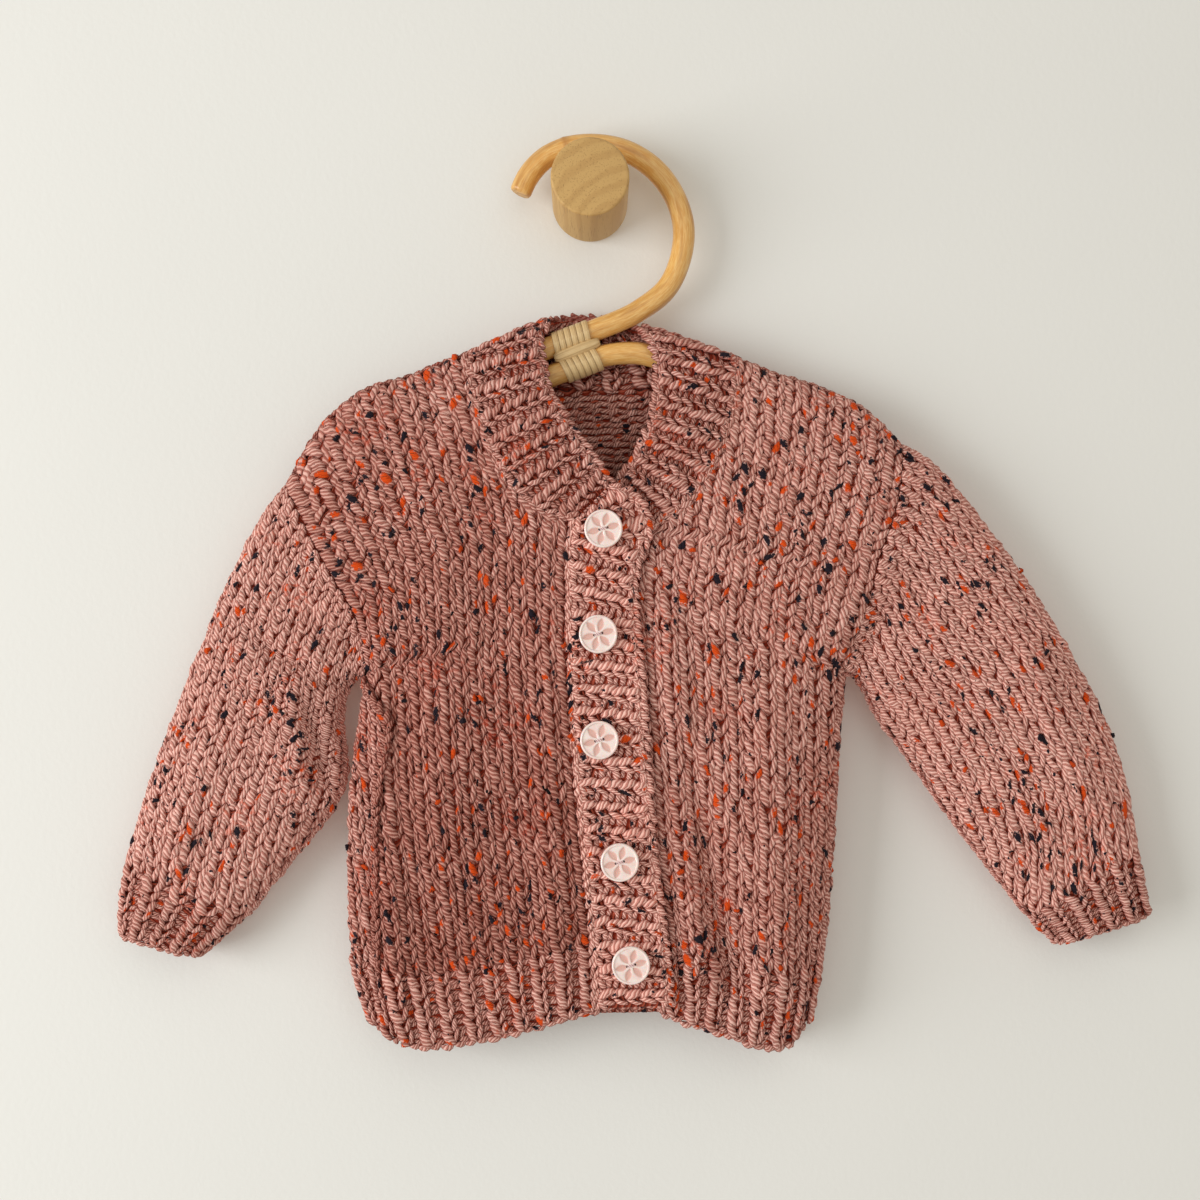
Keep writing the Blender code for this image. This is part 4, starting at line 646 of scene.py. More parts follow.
@dataclass(frozen=True)
class Marking:
    """Marks out each piece of the cloth in columns and rows."""

    cloth: Cloth = Cloth()
    pitch: float = 0.0070
    rib_pitch: float = 0.0106
    right_columns: int = 15
    left_columns: int = 14
    back_columns: int = 36
    vee_row: float = 35.5
    fine: int = 4  # grid points to a column or row
    band_rows: int = 5
    neck_rows: int = 6
    crown: float = 0.0015
    crown_fade: float = 0.15
    rib_spill: float = 0.4
    hem_row: float = 2.6  # its length gives a hem its number of ribs
    cuff_row: float = 34.3
    wrap_columns: int = 4  # of the back's grid, where it wraps round to the side seam
    front_marks: int = 181  # points of a row that is measured, on each piece
    back_marks: int = 360
    wrap_marks: int = 50
    sleeve_marks: int = 151
    fan_lean: float = 0.10  # the columns beside the neckband lean this much to the side
    fan_from: float = 27.0
    fan_to: float = 37.0

    def panel_rows(self) -> tuple[Array, Array]:
        """Grid rows of a panel over its rib, and how far each has eased out of the side seam's wrap."""
        rows = np.arange(HEM_TOP_ROW, SHOULDER_ROW + 1e-9, 1 / self.fine)
        return rows, smooth_step((rows - HEM_TOP_ROW) / (UNDERARM_ROW - HEM_TOP_ROW))

    def front(self, on_right: bool) -> Patch:
        """One front, from the top of its rib to the shoulder."""
        rows, ease = self.panel_rows()
        side = self.cloth.side_run(rows) if on_right else np.ones(len(rows))
        start = self.cloth.side_seam_run * (1 - ease) if on_right else side
        reach, sign, count = (0.64, 1, self.right_columns) if on_right else (0.40, -1, self.left_columns)
        runs = start[:, None] + np.linspace(0, 1, self.front_marks) * (reach - start)[:, None]
        points = self.cloth.point(runs, rows[:, None])
        lengths = lengths_along(points)
        seam = self.cloth.front_seam_run(rows, on_right)
        at_run = [lambda run, line=line, at=at: np.interp(sign * run, sign * line, at)
                  for line, at in zip(runs, lengths)]
        seam_length = np.array([read(run) for read, run in zip(at_run, seam)])
        even = np.interp(np.minimum(rows, self.vee_row), rows, seam_length) / count
        columns = np.arange(0, count + 1 + 1e-9, 1 / self.fine)
        right_x, left_x = self.cloth.side_edges(rows)
        straight = np.interp(np.minimum(rows, self.vee_row), rows, right_x + seam * (left_x - right_x))
        lean = sign * self.fan_lean * self.cloth.row_height_m
        straight = straight - lean * np.clip(rows - self.vee_row, 0, None)
        fanned = (straight - right_x) / (left_x - right_x)
        blend = smooth_step((rows - self.fan_from) / (self.fan_to - self.fan_from))
        grid, low, high = [], [], []
        for row, (line, read, at) in enumerate(zip(points, at_run, lengths)):
            spread = read(start[row] + columns / count * (fanned[row] - start[row]))
            beyond = spread[self.fine * count] + (columns - count) * even[row]
            spread = np.where(columns > count, beyond, spread)
            places = (1 - blend[row]) * columns * even[row] + blend[row] * spread
            grid.append(on_polyline(line, places, at))
            low.append(np.interp(read(side[row]), places, columns))
            high.append(np.interp(seam_length[row], places, columns))
        patch = Patch(np.array(grid), columns, rows, np.array(low), np.minimum(high, count), SHOULDER_ROW)
        return patch.turned(TO_ROOM)

    def back(self) -> Patch:
        """The back, from the top of its rib to the shoulders and the neck."""
        rows, ease = self.panel_rows()
        below = rows < UNDERARM_ROW
        end = np.where(below, self.cloth.side_seam_run * (1 - ease), -1e-9)
        side = np.where(below, self.cloth.side_run(rows), -1e-9)
        runs = np.concatenate((-1 + np.linspace(0, 1, self.back_marks + 1) * (end + 1)[:, None],
                               end[:, None] + np.linspace(1 / self.wrap_marks, 1, self.wrap_marks)
                               * (side - end)[:, None]), axis=1)
        points = self.cloth.point(runs, rows[:, None])
        lengths = lengths_along(points)
        whole = lengths[:, self.back_marks]
        columns = np.arange(0, self.back_columns + self.wrap_columns + 1e-9, 1 / self.fine)
        shares = columns / self.back_columns
        grid = np.stack([on_polyline(line, shares * end_at, at)
                         for line, at, end_at in zip(points, lengths, whole)])
        yoke = -5 * self.fine  # the grid row that stands for all columns at the neck
        run = np.interp(shares * whole[yoke], lengths[yoke], runs[yoke])
        top = self.cloth.neck_limit(2 * np.abs(run) - 1)
        high = self.back_columns * lengths[:, -1] / whole
        return Patch(grid, columns, rows, 0.0, high, top).turned(TO_WALL)

    def sleeve(self, on_right: bool) -> Patch:
        """One sleeve, up to the armhole at row 0, with u = 0 on its outer fold."""
        rings, run = (SLEEVE_RIGHT, 0.0) if on_right else (SLEEVE_LEFT, 1.0)
        rows = np.arange(CUFF_TOP_ROW, -1e-9, -1 / self.fine)
        half = len(ARMHOLE_ROWS) - 1
        sides = (np.linspace(*ends, self.sleeve_marks) for ends in ((0, half), (2 * half, half + 1e-6)))
        front, back = (self.cloth.sleeve_point(rings, run, side[None, :], rows[:, None]) for side in sides)
        front_at, back_at = lengths_along(front) / self.pitch, lengths_along(back) / self.pitch
        reach = math.ceil(max(front_at.max(), back_at.max()))
        columns = np.arange(-reach, reach + 1e-9, 1 / self.fine)
        grid = np.empty((len(rows), len(columns), 3))
        for i in range(len(rows)):
            ahead = on_polyline(front[i], columns, front_at[i])
            behind = on_polyline(back[i], -columns, back_at[i])
            grid[i] = np.where(columns[:, None] >= 0, ahead, behind)
        return Patch(grid, columns, -rows, -back_at[:, -1], front_at[:, -1], 0.0).turned(TO_ROOM, 0.62)

    def ribs_along(self, line: Array, marks: Array) -> tuple[int, Array, Array]:
        """Ribs that a line of the cloth takes, their grid columns, and the line's mark at each."""
        lengths = lengths_along(line)
        ribs = max(2, round(lengths[-1] / self.rib_pitch))
        columns = np.arange(0, ribs + 1e-9, 1 / (2 * self.fine))
        return ribs, columns, np.interp(columns / ribs * lengths[-1], lengths, marks)

    def hem_runs(self, name: str, rows: Array) -> tuple[Array, Array]:
        """Runs at which the rib under a panel starts and ends."""
        if name == "back":
            return -np.ones(len(rows)), self.cloth.side_run(rows)
        on_right = name == "front_right"
        start = self.cloth.side_run(rows) if on_right else np.ones(len(rows))
        return start, self.cloth.front_seam_run(rows, on_right)

    def hem(self, name: str) -> Patch:
        """The rib under a panel, with one column to each rib."""
        rows = np.arange(0, HEM_TOP_ROW + 1e-9, 0.25)
        start, end = (float(run[0]) for run in self.hem_runs(name, np.array([self.hem_row])))
        marks = np.linspace(0, 1, LINE_MARKS)
        line = self.cloth.point(start + marks * (end - start), self.hem_row)
        ribs, columns, shares = self.ribs_along(line, marks)
        start, end = self.hem_runs(name, rows)
        runs = start[:, None] + shares * (end - start)[:, None]
        if name == "back":
            runs = np.where(np.abs(runs) < 1e-7, -0.0, runs)
        grid = self.cloth.point(runs, rows[:, None])
        patch = Patch(grid, columns, rows, 0.0, ribs, HEM_TOP_ROW, self.rib_pitch, spill=self.rib_spill)
        return patch.turned(TO_WALL if name == "back" else TO_ROOM)

    def cuff(self, on_right: bool) -> Patch:
        """One cuff, its rows counted down from the sleeve's top, with one column to each rib."""
        rings, run = (SLEEVE_RIGHT, 0.0) if on_right else (SLEEVE_LEFT, 1.0)
        rows = np.arange(CUFF_END_ROW, CUFF_TOP_ROW - 1e-9, -0.25)
        marks = np.linspace(0, 2 * (len(ARMHOLE_ROWS) - 1), LINE_MARKS)
        line = self.cloth.sleeve_point(rings, run, marks, np.array(self.cuff_row))
        ribs, columns, places = self.ribs_along(line, marks)
        grid = self.cloth.sleeve_point(rings, run, places[None, :], rows[:, None])
        patch = Patch(grid, columns, -rows, 0.0, ribs, -CUFF_TOP_ROW, self.rib_pitch, spill=self.rib_spill)
        return patch.turned(TO_ROOM, 0.25)

    def strip(self, seam: Array, edges: Array, marks: Array, seam_marks: Array, rows: int,
              crown: float) -> Patch:
        """A strip of ribs from its seam to its free edge, with one column to each rib.

        Args:
            seam: points that it is sewn to.
            edges: points of its free edge, one for each cross line.
            marks: mark on the seam of each cross line.
            seam_marks: mark of each seam point.
            rows: knitted rows from the seam to the free edge.
            crown: height of its crown between the two.

        Returns:
            The marked-out strip.
        """
        order = np.arange(len(marks))
        fine = np.linspace(0, order[-1], LINE_MARKS)
        sewn = on_polyline(seam, np.interp(fine, order, marks), seam_marks)
        ribs, columns, places = self.ribs_along((sewn + through(fine, order, edges)) / 2, fine)
        start = on_polyline(seam, np.interp(places, order, marks), seam_marks)
        end = through(places, order, edges)
        steps = np.linspace(0, 1, 2 * rows + 1)
        grid = start + steps[:, None, None] * (end - start)
        patch = Patch(grid, columns, steps * rows, 0.0, ribs, rows, self.rib_pitch).turned(TO_ROOM, 0.04)
        lift = crown * smooth_step(np.minimum(columns, ribs - columns) / ribs / self.crown_fade)
        lift = lift if patch.columns[0] >= 0 else lift[::-1]
        crowned = patch.points + patch.normals * (np.sin(math.pi * steps)[:, None] * lift)[..., None]
        return replace(patch, points=crowned)

    def line_rows(self, lines: Sequence[CrossLine | NeckLine]) -> Array:
        """Rows of the seam ends of cross lines."""
        seam = np.array([line.seam for line in lines])
        return self.cloth.place(seam[:, 0], seam[:, 1])[1]

    def front_seam(self, rows: Array, on_right: bool) -> Array:
        """Points of a front's seam with its band and the neckband."""
        return self.cloth.point(self.cloth.front_seam_run(rows, on_right), rows)

    def band(self, on_right: bool) -> Patch:
        """The buttonhole band (right) or the button band (left)."""
        lines, neck, lift = BUTTON_LINES, NECK_FRONT_LEFT[-1], -self.cloth.lap_lift
        if on_right:
            lines, neck, lift = BUTTONHOLE_LINES, NECK_FRONT_RIGHT[0], self.cloth.lap_lift
        rows = np.linspace(0, SHOULDER_ROW, ROW_MARKS)
        edge = np.array([line.edge for line in lines])
        depth = self.cloth.front_depth(edge[:, 0], edge[:, 1])
        depth += lift * self.cloth.lap_fade(edge[:, 1])
        depth[-1] = neck.edge_depth
        edges = np.stack([edge[:, 0], -depth, edge[:, 1]], axis=1)
        marks = self.line_rows(lines)
        marks[0] = 0.0
        return self.strip(self.front_seam(rows, on_right), edges, marks, rows, self.band_rows, 0.0)

    def neckband(self) -> Patch:
        """The neckband, from front edge to front edge round the neck."""
        rows = np.linspace(0, SHOULDER_ROW, ROW_MARKS)
        right, left = self.front_seam(rows, True), self.front_seam(rows, False)
        across = np.linspace(CORNER_RIGHT, CORNER_LEFT, 61)[1:-1]
        back = self.cloth.point(-(across + 1) / 2, self.cloth.neck_limit(across))
        seam = np.concatenate((right, back, left[::-1]))
        lengths = lengths_along(seam)
        count = len(rows)
        back_x = np.array([line.seam[0] for line in NECK_BACK])
        whole_back = seam[count - 1:-count + 1]
        back_lengths = lengths[count - 1:-count + 1]
        marks = np.concatenate((
            np.interp(self.line_rows(NECK_FRONT_RIGHT), rows, lengths[:count]),
            np.interp(back_x, whole_back[:, 0], back_lengths),
            np.interp(-self.line_rows(NECK_FRONT_LEFT), -rows[::-1], lengths[-count:]),
        ))
        edges = np.array([(*line.edge[:1], -line.edge_depth, line.edge[1])
                          for line in NECK_FRONT_RIGHT + NECK_BACK + NECK_FRONT_LEFT])
        return self.strip(seam, edges, marks, lengths, self.neck_rows, self.crown)


# ---- yarn and stitches ----
@dataclass(frozen=True)
class Leg:
    """One strand of a stitch, in metres from the stitch's middle, before the cloth stretches it.

    lean turns its top to the right, bow bends its middle aside, and dip sinks its two ends.
    """

    across: float
    up: float
    lean: float
    half_length: float
    half_width: float
    half_depth: float
    height: float
    bow: float = 0.0
    dip_low: float = 0.0009
    dip_high: float = 0.0007


FULL_LEG = Leg(-0.0016, 0.0001, math.radians(-20), 0.0045, 0.00188, 0.00128, 0.00100, -0.0002, 0.0009, 0.0003)
SLIM_LEG = Leg(0.00180, 0.0003, math.radians(20), 0.0043, 0.00162, 0.00122, 0.00092, 0.0003, 0.0011, 0.0003)
RIB_FULL = Leg(-0.00115, 0.0001, math.radians(-24), 0.0042, 0.00205, 0.0014, 0.0018, -0.0002, 0.0011, 0.0006)
RIB_SLIM = Leg(0.00230, 0.0003, math.radians(20), 0.0037, 0.00125, 0.00115, 0.00140, 0.0003, 0.0011, 0.0005)
PURL_TOP = Leg(0.0, 0.0011, math.radians(84), 0.0028, 0.00130, 0.00110, 0.00020, -0.0004, 0.0006, 0.0006)
PURL_LOW = Leg(0.0, -0.0012, math.radians(96), 0.0028, 0.00125, 0.00105, 0.00005, 0.0004, 0.0006, 0.0006)
BUMP_TOP = Leg(-0.0017, 0.0008, math.radians(80), 0.0028, 0.00130, 0.00120, 0.00200, -0.0007)
BUMP_LOW = Leg(0.0017, -0.0008, math.radians(100), 0.0028, 0.00130, 0.00120, 0.00195, 0.0007)
CHAIN_LEFT = Leg(-0.0011, 0.0, math.radians(-27), 0.0035, 0.00140, 0.00125, 0.00120, 0.0003)
CHAIN_RIGHT = Leg(0.0011, 0.0, math.radians(27), 0.0035, 0.00140, 0.00125, 0.00120, -0.0003)
LOOP_EDGE = Leg(0.0, 0.0, math.radians(90), 0.0036, 0.00150, 0.00150, -0.00020, 0.0012, 0.0008, 0.0008)
TUFTS = (Leg(0.0010, 0.0, math.radians(-35), 0.0021, 0.00080, 0.00085, 0.00225),
         Leg(-0.0012, 0.001, math.radians(15), 0.0017, 0.00100, 0.00085, 0.00215),
         Leg(0.0, -0.001, math.radians(65), 0.0015, 0.00085, 0.00085, 0.00235))
# How uneven strands are in lean, length, width, height, place across and up, bow and sway.
UNEVEN = (0.09, 0.06, 0.10, 0.00022, 0.00018, 0.00018, 0.00025, 0.0003)
TUFT_SHARE = 0.05  # of the stitches
LOOP_SPACING = 0.0053
INNER_REACH = 9.5  # columns to each side of the middle whose inner side is seen
EASED_ROWS = 12.0  # rows of a shell that follow a shaped top
EDGE_CHAINS = ((-1, -0.0004), (0, 0.0002))  # grid row and height of the chains along a band
SEAM_INSET = 0.05  # columns from a seam's chain to the edge
FRONT_SEAM_HEIGHT = 0.0019
SLEEVE_SEAM_HEIGHT = 0.0009
SHOULDER_SEAM_HEIGHTS = (-0.0011, -0.0001)
CHAIN_LINK = 0.0046
CHAIN_STEP = 0.0012
WALL_DEPTH = -0.0001  # the wall flattens what would pass this y

# Waves of flecks, each with its turn.
CLUMPS = (((95.0, 20.0, 40.0), 0.3), ((-60.0, 10.0, 120.0), 1.9), ((210.0, 35.0, -150.0), 4.0))


# ---- meshes and pieces ----
def mesh_of(name: str, shape: bmesh.types.BMesh) -> bpy.types.Mesh:
    """The mesh of a finished shape, which is let go."""
    mesh = bpy.data.meshes.new(name)
    shape.to_mesh(mesh)
    shape.free()
    return mesh


def in_scene(name: str, data: bpy.types.ID) -> bpy.types.Object:
    """A new object in the scene."""
    made = bpy.data.objects.new(name, data)
    bpy.context.scene.collection.objects.link(made)
    return made


def placed(name: str, mesh: bpy.types.Mesh, slot: str) -> bpy.types.Object:
    """A new piece, on the part's one body."""
    piece = in_scene(name, mesh)
    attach(piece, "root")
    return piece


def mark_corners(mesh: bpy.types.Mesh, name: str, values: Array) -> None:
    """Gives a mesh one named number at each corner."""
    mesh.attributes.new(name, "FLOAT", "POINT").data.foreach_set("value", values.astype(np.float32))


def flat_grid(columns: int, rows: int) -> tuple[bmesh.types.BMesh, Array]:
    """A grid of faces with a map, and the share across and along it of each corner."""
    shape = bmesh.new()
    bmesh.ops.create_grid(shape, x_segments=columns, y_segments=rows, size=0.5, calc_uvs=True)
    return shape, np.array([(vert.co.x + 0.5, vert.co.y + 0.5) for vert in shape.verts])


def shape_grid(shape: bmesh.types.BMesh, places: Array, marks: Array) -> None:
    """Moves a grid's corners to places, with one mark (u, v) each on its map."""
    layer = shape.loops.layers.uv.verify()
    for vert, co in zip(shape.verts, places):
        vert.co = co
    for face in shape.faces:
        for loop in face.loops:
            loop[layer].uv = marks[loop.vert.index]


@dataclass
class Strands:
    """Strands of yarn that become one mesh, all copies of one small spindle."""

    seed: int
    sides: int = 6
    rings: int = 6
    flecked: float = 0.31  # share of the strands with a fleck, where they are thickest
    blunt: float = 0.68  # under 1 fills the spindle out towards its ends
    fleck_size: float = 0.00045  # the least radius
    fleck_growth: float = 0.00135
    cover: float = 0.02  # radius that covers a whole strand
    tint_spread: float = 0.055
    uneven: float = 0.00017
    whole: bool = False  # whether the next strands are all fleck
    corners: list[Array] = field(default_factory=list)
    yarns: list[Array] = field(default_factory=list)

    def __post_init__(self) -> None:
        """Makes the spindle, with its yarn coordinates: along it, and round it from its underside."""
        self.random = np.random.default_rng(self.seed)
        shape = bmesh.new()
        bmesh.ops.create_uvsphere(shape, u_segments=self.sides, v_segments=self.rings, radius=1.0)
        turn = Matrix.Rotation(math.pi / 2, 3, "Z")
        bmesh.ops.rotate(shape, verts=shape.verts, cent=(0, 0, 0), matrix=turn)
        shape.verts.ensure_lookup_table()
        self.spindle = np.array([vert.co for vert in shape.verts])
        girth = np.hypot(self.spindle[:, 0], self.spindle[:, 1])
        fuller = np.where(girth > 1e-5, np.maximum(girth, 1e-5) ** (self.blunt - 1), 1)
        self.filled = self.spindle * fuller[:, None]
        self.sizes = np.array([len(face.verts) for face in shape.faces])
        self.loops = np.array([vert.index for face in shape.faces for vert in face.verts])
        around = 0.5 + np.arctan2(self.spindle[:, 0], self.spindle[:, 1]) / (2 * math.pi)
        marks = []
        for face in shape.faces:
            turns = np.array([around[vert.index] for vert in face.verts])
            pole = np.array([math.hypot(vert.co.x, vert.co.y) < 1e-5 for vert in face.verts])
            if np.ptp(turns[~pole]) > 0.5:
                turns = np.where(turns < 0.5, turns + 1, turns)
            turns[pole] = turns[~pole].mean()
            marks += [((vert.co.z + 1) / 2, turn) for vert, turn in zip(face.verts, turns)]
        self.marks = np.array(marks)
        shape.free()

    def lay(self, patch: Patch, cells: Array, leg: Leg, shade: float | Array = 1.0,
            loose: float = 1.0) -> None:
        """Lays one strand on each cell of the cloth.

        Args:
            patch: the cloth.
            cells: middles (u, v) of the stitches.
            leg: the strand's shape.
            shade: how light its yarn is drawn, once or for each stitch, which is painted light and shade.
            loose: how uneven the strands are.
        """
        count = len(cells)
        if not count:
            return
        lean, length, width, height, across, up, bow, sway = (
            spread * noise for spread, noise in zip(UNEVEN, self.random.normal(0, loose, (8, count, 1))))
        aside, deep, along = self.filled[:, 0], self.filled[:, 1], self.spindle[:, 2]
        lean, length = leg.lean + lean, leg.half_length * (1 + length)
        side = (leg.bow + bow) * (1 - along**2) + sway * along * (1 - along**2)
        side = side + aside * (leg.half_width * (1 + width))
        side = side + self.uneven * self.random.normal(0, loose, (count, len(along)))
        du = leg.across + across + along * length * np.sin(lean) + side * np.cos(lean)
        dv = leg.up + up + along * length * np.cos(lean) - side * np.sin(lean)
        dip = np.where(along < 0, leg.dip_low, leg.dip_high) * along**2
        height = leg.height + height + deep * leg.half_depth - dip
        height = height + self.uneven * self.random.normal(0, loose, (count, len(along)))
        shear = patch.shear(cells[:, 0], cells[:, 1])[:, None]
        u, v = patch.clipped(cells[:, :1] + du / patch.pitch,
                             cells[:, 1:] + dv / patch.rise - shear * (du / patch.pitch))
        self.add(patch.place(u, v, height), shade)

    def tufts(self, patch: Patch, cells: Array) -> None:
        """Lays small tufts of fleck wool, which stand out of the yarn, on a share of the cells."""
        for leg in TUFTS:
            chosen = cells[self.random.random(len(cells)) < TUFT_SHARE / len(TUFTS)]
            self.whole = True
            self.lay(patch, chosen, leg, loose=1.6)
            self.whole = False

    def add(self, corners: Array, shade: float | Array) -> None:
        """Takes up finished strands, (strand, corner, 3), and gives each its tint, which is painted light and
        shade with a random spread of tone, and its fleck.

        The fleck's kind is 0 for none, 1 for orange and 3 for ink, plus its place round the strand.
        """
        count = len(corners)
        corners = np.minimum(corners, (np.inf, WALL_DEPTH, np.inf))
        middle = corners.mean(axis=1)
        swell = sum(np.sin(middle @ np.array(wave) + turn) for wave, turn in CLUMPS)
        share = self.flecked * np.clip(0.62 + 0.30 * swell, 0.12, 1.4)
        kind = np.where(self.random.random(count) < 0.5, 1.0, 3.0) + self.random.uniform(0.32, 0.68, count)
        kind = np.where((self.random.random(count) < share) | self.whole, kind, 0.0)
        # The tint: the piece's painted light and shade, spread at random as the yarn's tone varies.
        tint = shade + self.tint_spread * self.random.normal(0, 1, count)
        where = self.random.uniform(0.2, 0.8, count)
        size = self.fleck_size + self.fleck_growth * self.random.random(count) ** 1.3
        yarn = np.stack([tint, kind, where, size + self.cover * self.whole], axis=1)
        self.corners.append(corners.reshape(-1, 3))
        self.yarns.append(np.repeat(yarn, len(self.spindle), axis=0))

    def object(self, name: str, finish: bpy.types.Material, slot: str) -> bpy.types.Object:
        """One object of all the strands."""
        corners = np.concatenate(self.corners)
        copies = len(corners) // len(self.spindle)
        offsets = np.arange(copies)[:, None] * len(self.spindle)
        sizes = np.tile(self.sizes, copies)
        mesh = bpy.data.meshes.new(name)
        mesh.vertices.add(len(corners))
        mesh.vertices.foreach_set("co", corners.astype(np.float32).ravel())
        mesh.loops.add(copies * len(self.loops))
        mesh.loops.foreach_set("vertex_index", (self.loops[None, :] + offsets).astype(np.int32).ravel())
        mesh.polygons.add(len(sizes))
        starts = np.concatenate(([0], np.cumsum(sizes)[:-1])).astype(np.int32)
        mesh.polygons.foreach_set("loop_start", starts)
        mesh.polygons.foreach_set("use_smooth", np.ones(len(sizes), bool))
        mesh.update(calc_edges=True)
        strand = mesh.uv_layers.new(name="Strand")
        strand.uv.foreach_set("vector", np.tile(self.marks, (copies, 1)).astype(np.float32).ravel())
        yarn = mesh.attributes.new("Yarn", "FLOAT_COLOR", "POINT")
        yarn.data.foreach_set("color", np.concatenate(self.yarns).astype(np.float32).ravel())
        mesh.validate()
        mesh.materials.append(finish)
        return placed(name, mesh, slot)


# ---- finishes ----
class Value:
    """A number, vector or colour that a material works out, with the arithmetic of Math nodes."""

    def __init__(self, graph: "Graph", socket: bpy.types.NodeSocket) -> None:
        """Holds an output of one of the graph's nodes."""
        self.graph = graph
        self.socket = socket

    def __add__(self, other: object) -> "Value":
        """The sum of both."""
        return self.graph.math("ADD", self, other)

    def __sub__(self, other: object) -> "Value":
        """The value less the other."""
        return self.graph.math("SUBTRACT", self, other)

    def __mul__(self, other: object) -> "Value":
        """The product of both."""
        return self.graph.math("MULTIPLY", self, other)

    def __pow__(self, other: float) -> "Value":
        """The value to a power."""
        return self.graph.math("POWER", self, other)

    def __gt__(self, other: float) -> "Value":
        """1 where the value is greater than the other, else 0."""
        return self.graph.math("GREATER_THAN", self, other)

    def __abs__(self) -> "Value":
        """The value without its sign."""
        return self.graph.math("ABSOLUTE", self)

    def scaled(self, factor: float, offset: object) -> "Value":
        """The value times a factor, plus an offset."""
        return self.graph.math("MULTIPLY_ADD", self, factor, offset)

    def spread(self, low: float, high: float, to_low: float = 0.0, to_high: float = 1.0) -> "Value":
        """The value carried from one range to another, smoothly and within it."""
        ends = {"From Min": low, "From Max": high, "To Min": to_low, "To Max": to_high}
        return self.graph.node("MapRange", {"Value": self, **ends}, interpolation_type="SMOOTHSTEP")


class Graph:
    """Nodes of one material, with its Principled shader."""

    def __init__(self, name: str, roughness: float) -> None:
        """Starts a material with a Principled shader of the given roughness."""
        self.material = bpy.data.materials.new(name)
        self.material.use_nodes = True
        self.nodes = self.material.node_tree.nodes
        self.shader = self.nodes["Principled BSDF"]
        self.fix(Roughness=roughness)

    def feed(self, socket: bpy.types.NodeSocket, value: object) -> None:
        """Links a value to a socket, or sets a constant on it."""
        if isinstance(value, Value):
            self.material.node_tree.links.new(value.socket, socket)
        elif isinstance(value, tuple) and len(value) == 3 and socket.type == "RGBA":
            socket.default_value = (*value, 1.0)
        else:
            socket.default_value = value

    def node(self, kind: str, inputs: dict, output: int | str = 0, **settings: object) -> Value:
        """One output of a new node.

        Args:
            kind: type of the node, without ShaderNode before it.
            inputs: value or constant of each input, by its name or number.
            output: name or number of the output.
            settings: the node's own settings.

        Returns:
            The output.
        """
        made = self.nodes.new(f"ShaderNode{kind}")
        for name, setting in settings.items():
            setattr(made, name, setting)
        for name, value in inputs.items():
            self.feed(made.inputs[name], value)
        return Value(self, made.outputs[output])

    def paint(self, colour: Value) -> None:
        """Gives the shader its colour."""
        self.feed(self.shader.inputs["Base Color"], colour)

    def fix(self, **inputs: object) -> None:
        """Sets inputs of the shader, each named with _ for a space."""
        for name, value in inputs.items():
            self.feed(self.shader.inputs[name.replace("_", " ")], value)

    def math(self, operation: str, first: object, second: object = 0.0, third: object = 0.0) -> Value:
        """Result of a Math node."""
        return self.node("Math", {0: first, 1: second, 2: third}, operation=operation)

    def mix(self, factor: object, first: object, second: object) -> Value:
        """Colour mixed from two."""
        return self.node("Mix", {0: factor, 6: first, 7: second}, 2, data_type="RGBA")

    def object_place(self, scale: Point = (1.0, 1.0, 1.0)) -> Value:
        """Object coordinates, scaled."""
        return self.node("Mapping", {"Vector": self.node("TexCoord", {}, "Object"), "Scale": scale})

    def noise(self, place: Value, scale: float, detail: float = 2.0, rough: float = 0.5) -> Value:
        """Noise at a place."""
        return self.node("TexNoise", {"Vector": place, "Scale": scale, "Detail": detail, "Roughness": rough})

    def split(self, vector: Value) -> list[Value]:
        """The three numbers of a vector or colour."""
        parts = self.nodes.new("ShaderNodeSeparateXYZ")
        self.feed(parts.inputs[0], vector)
        return [Value(self, output) for output in parts.outputs]

    def uv(self, name: str) -> list[Value]:
        """Both numbers of a UV map."""
        return self.split(self.node("UVMap", {}, uv_map=name))[:2]

    def attribute(self, name: str, output: str = "Fac") -> Value:
        """A named attribute of the mesh."""
        return self.node("Attribute", {}, output, attribute_name=name)

    def bump(self, height: Value, distance: float, strength: float = 1.0) -> None:
        """Gives the shader a relief."""
        self.fix(Normal=self.node("Bump", {"Height": height, "Distance": distance, "Strength": strength}))

    def sheen(self, weight: float, roughness: float, tint: Colour) -> None:
        """Gives the shader the soft sheen of fibres."""
        self.fix(Sheen_Weight=weight, Sheen_Roughness=roughness, Sheen_Tint=tint)


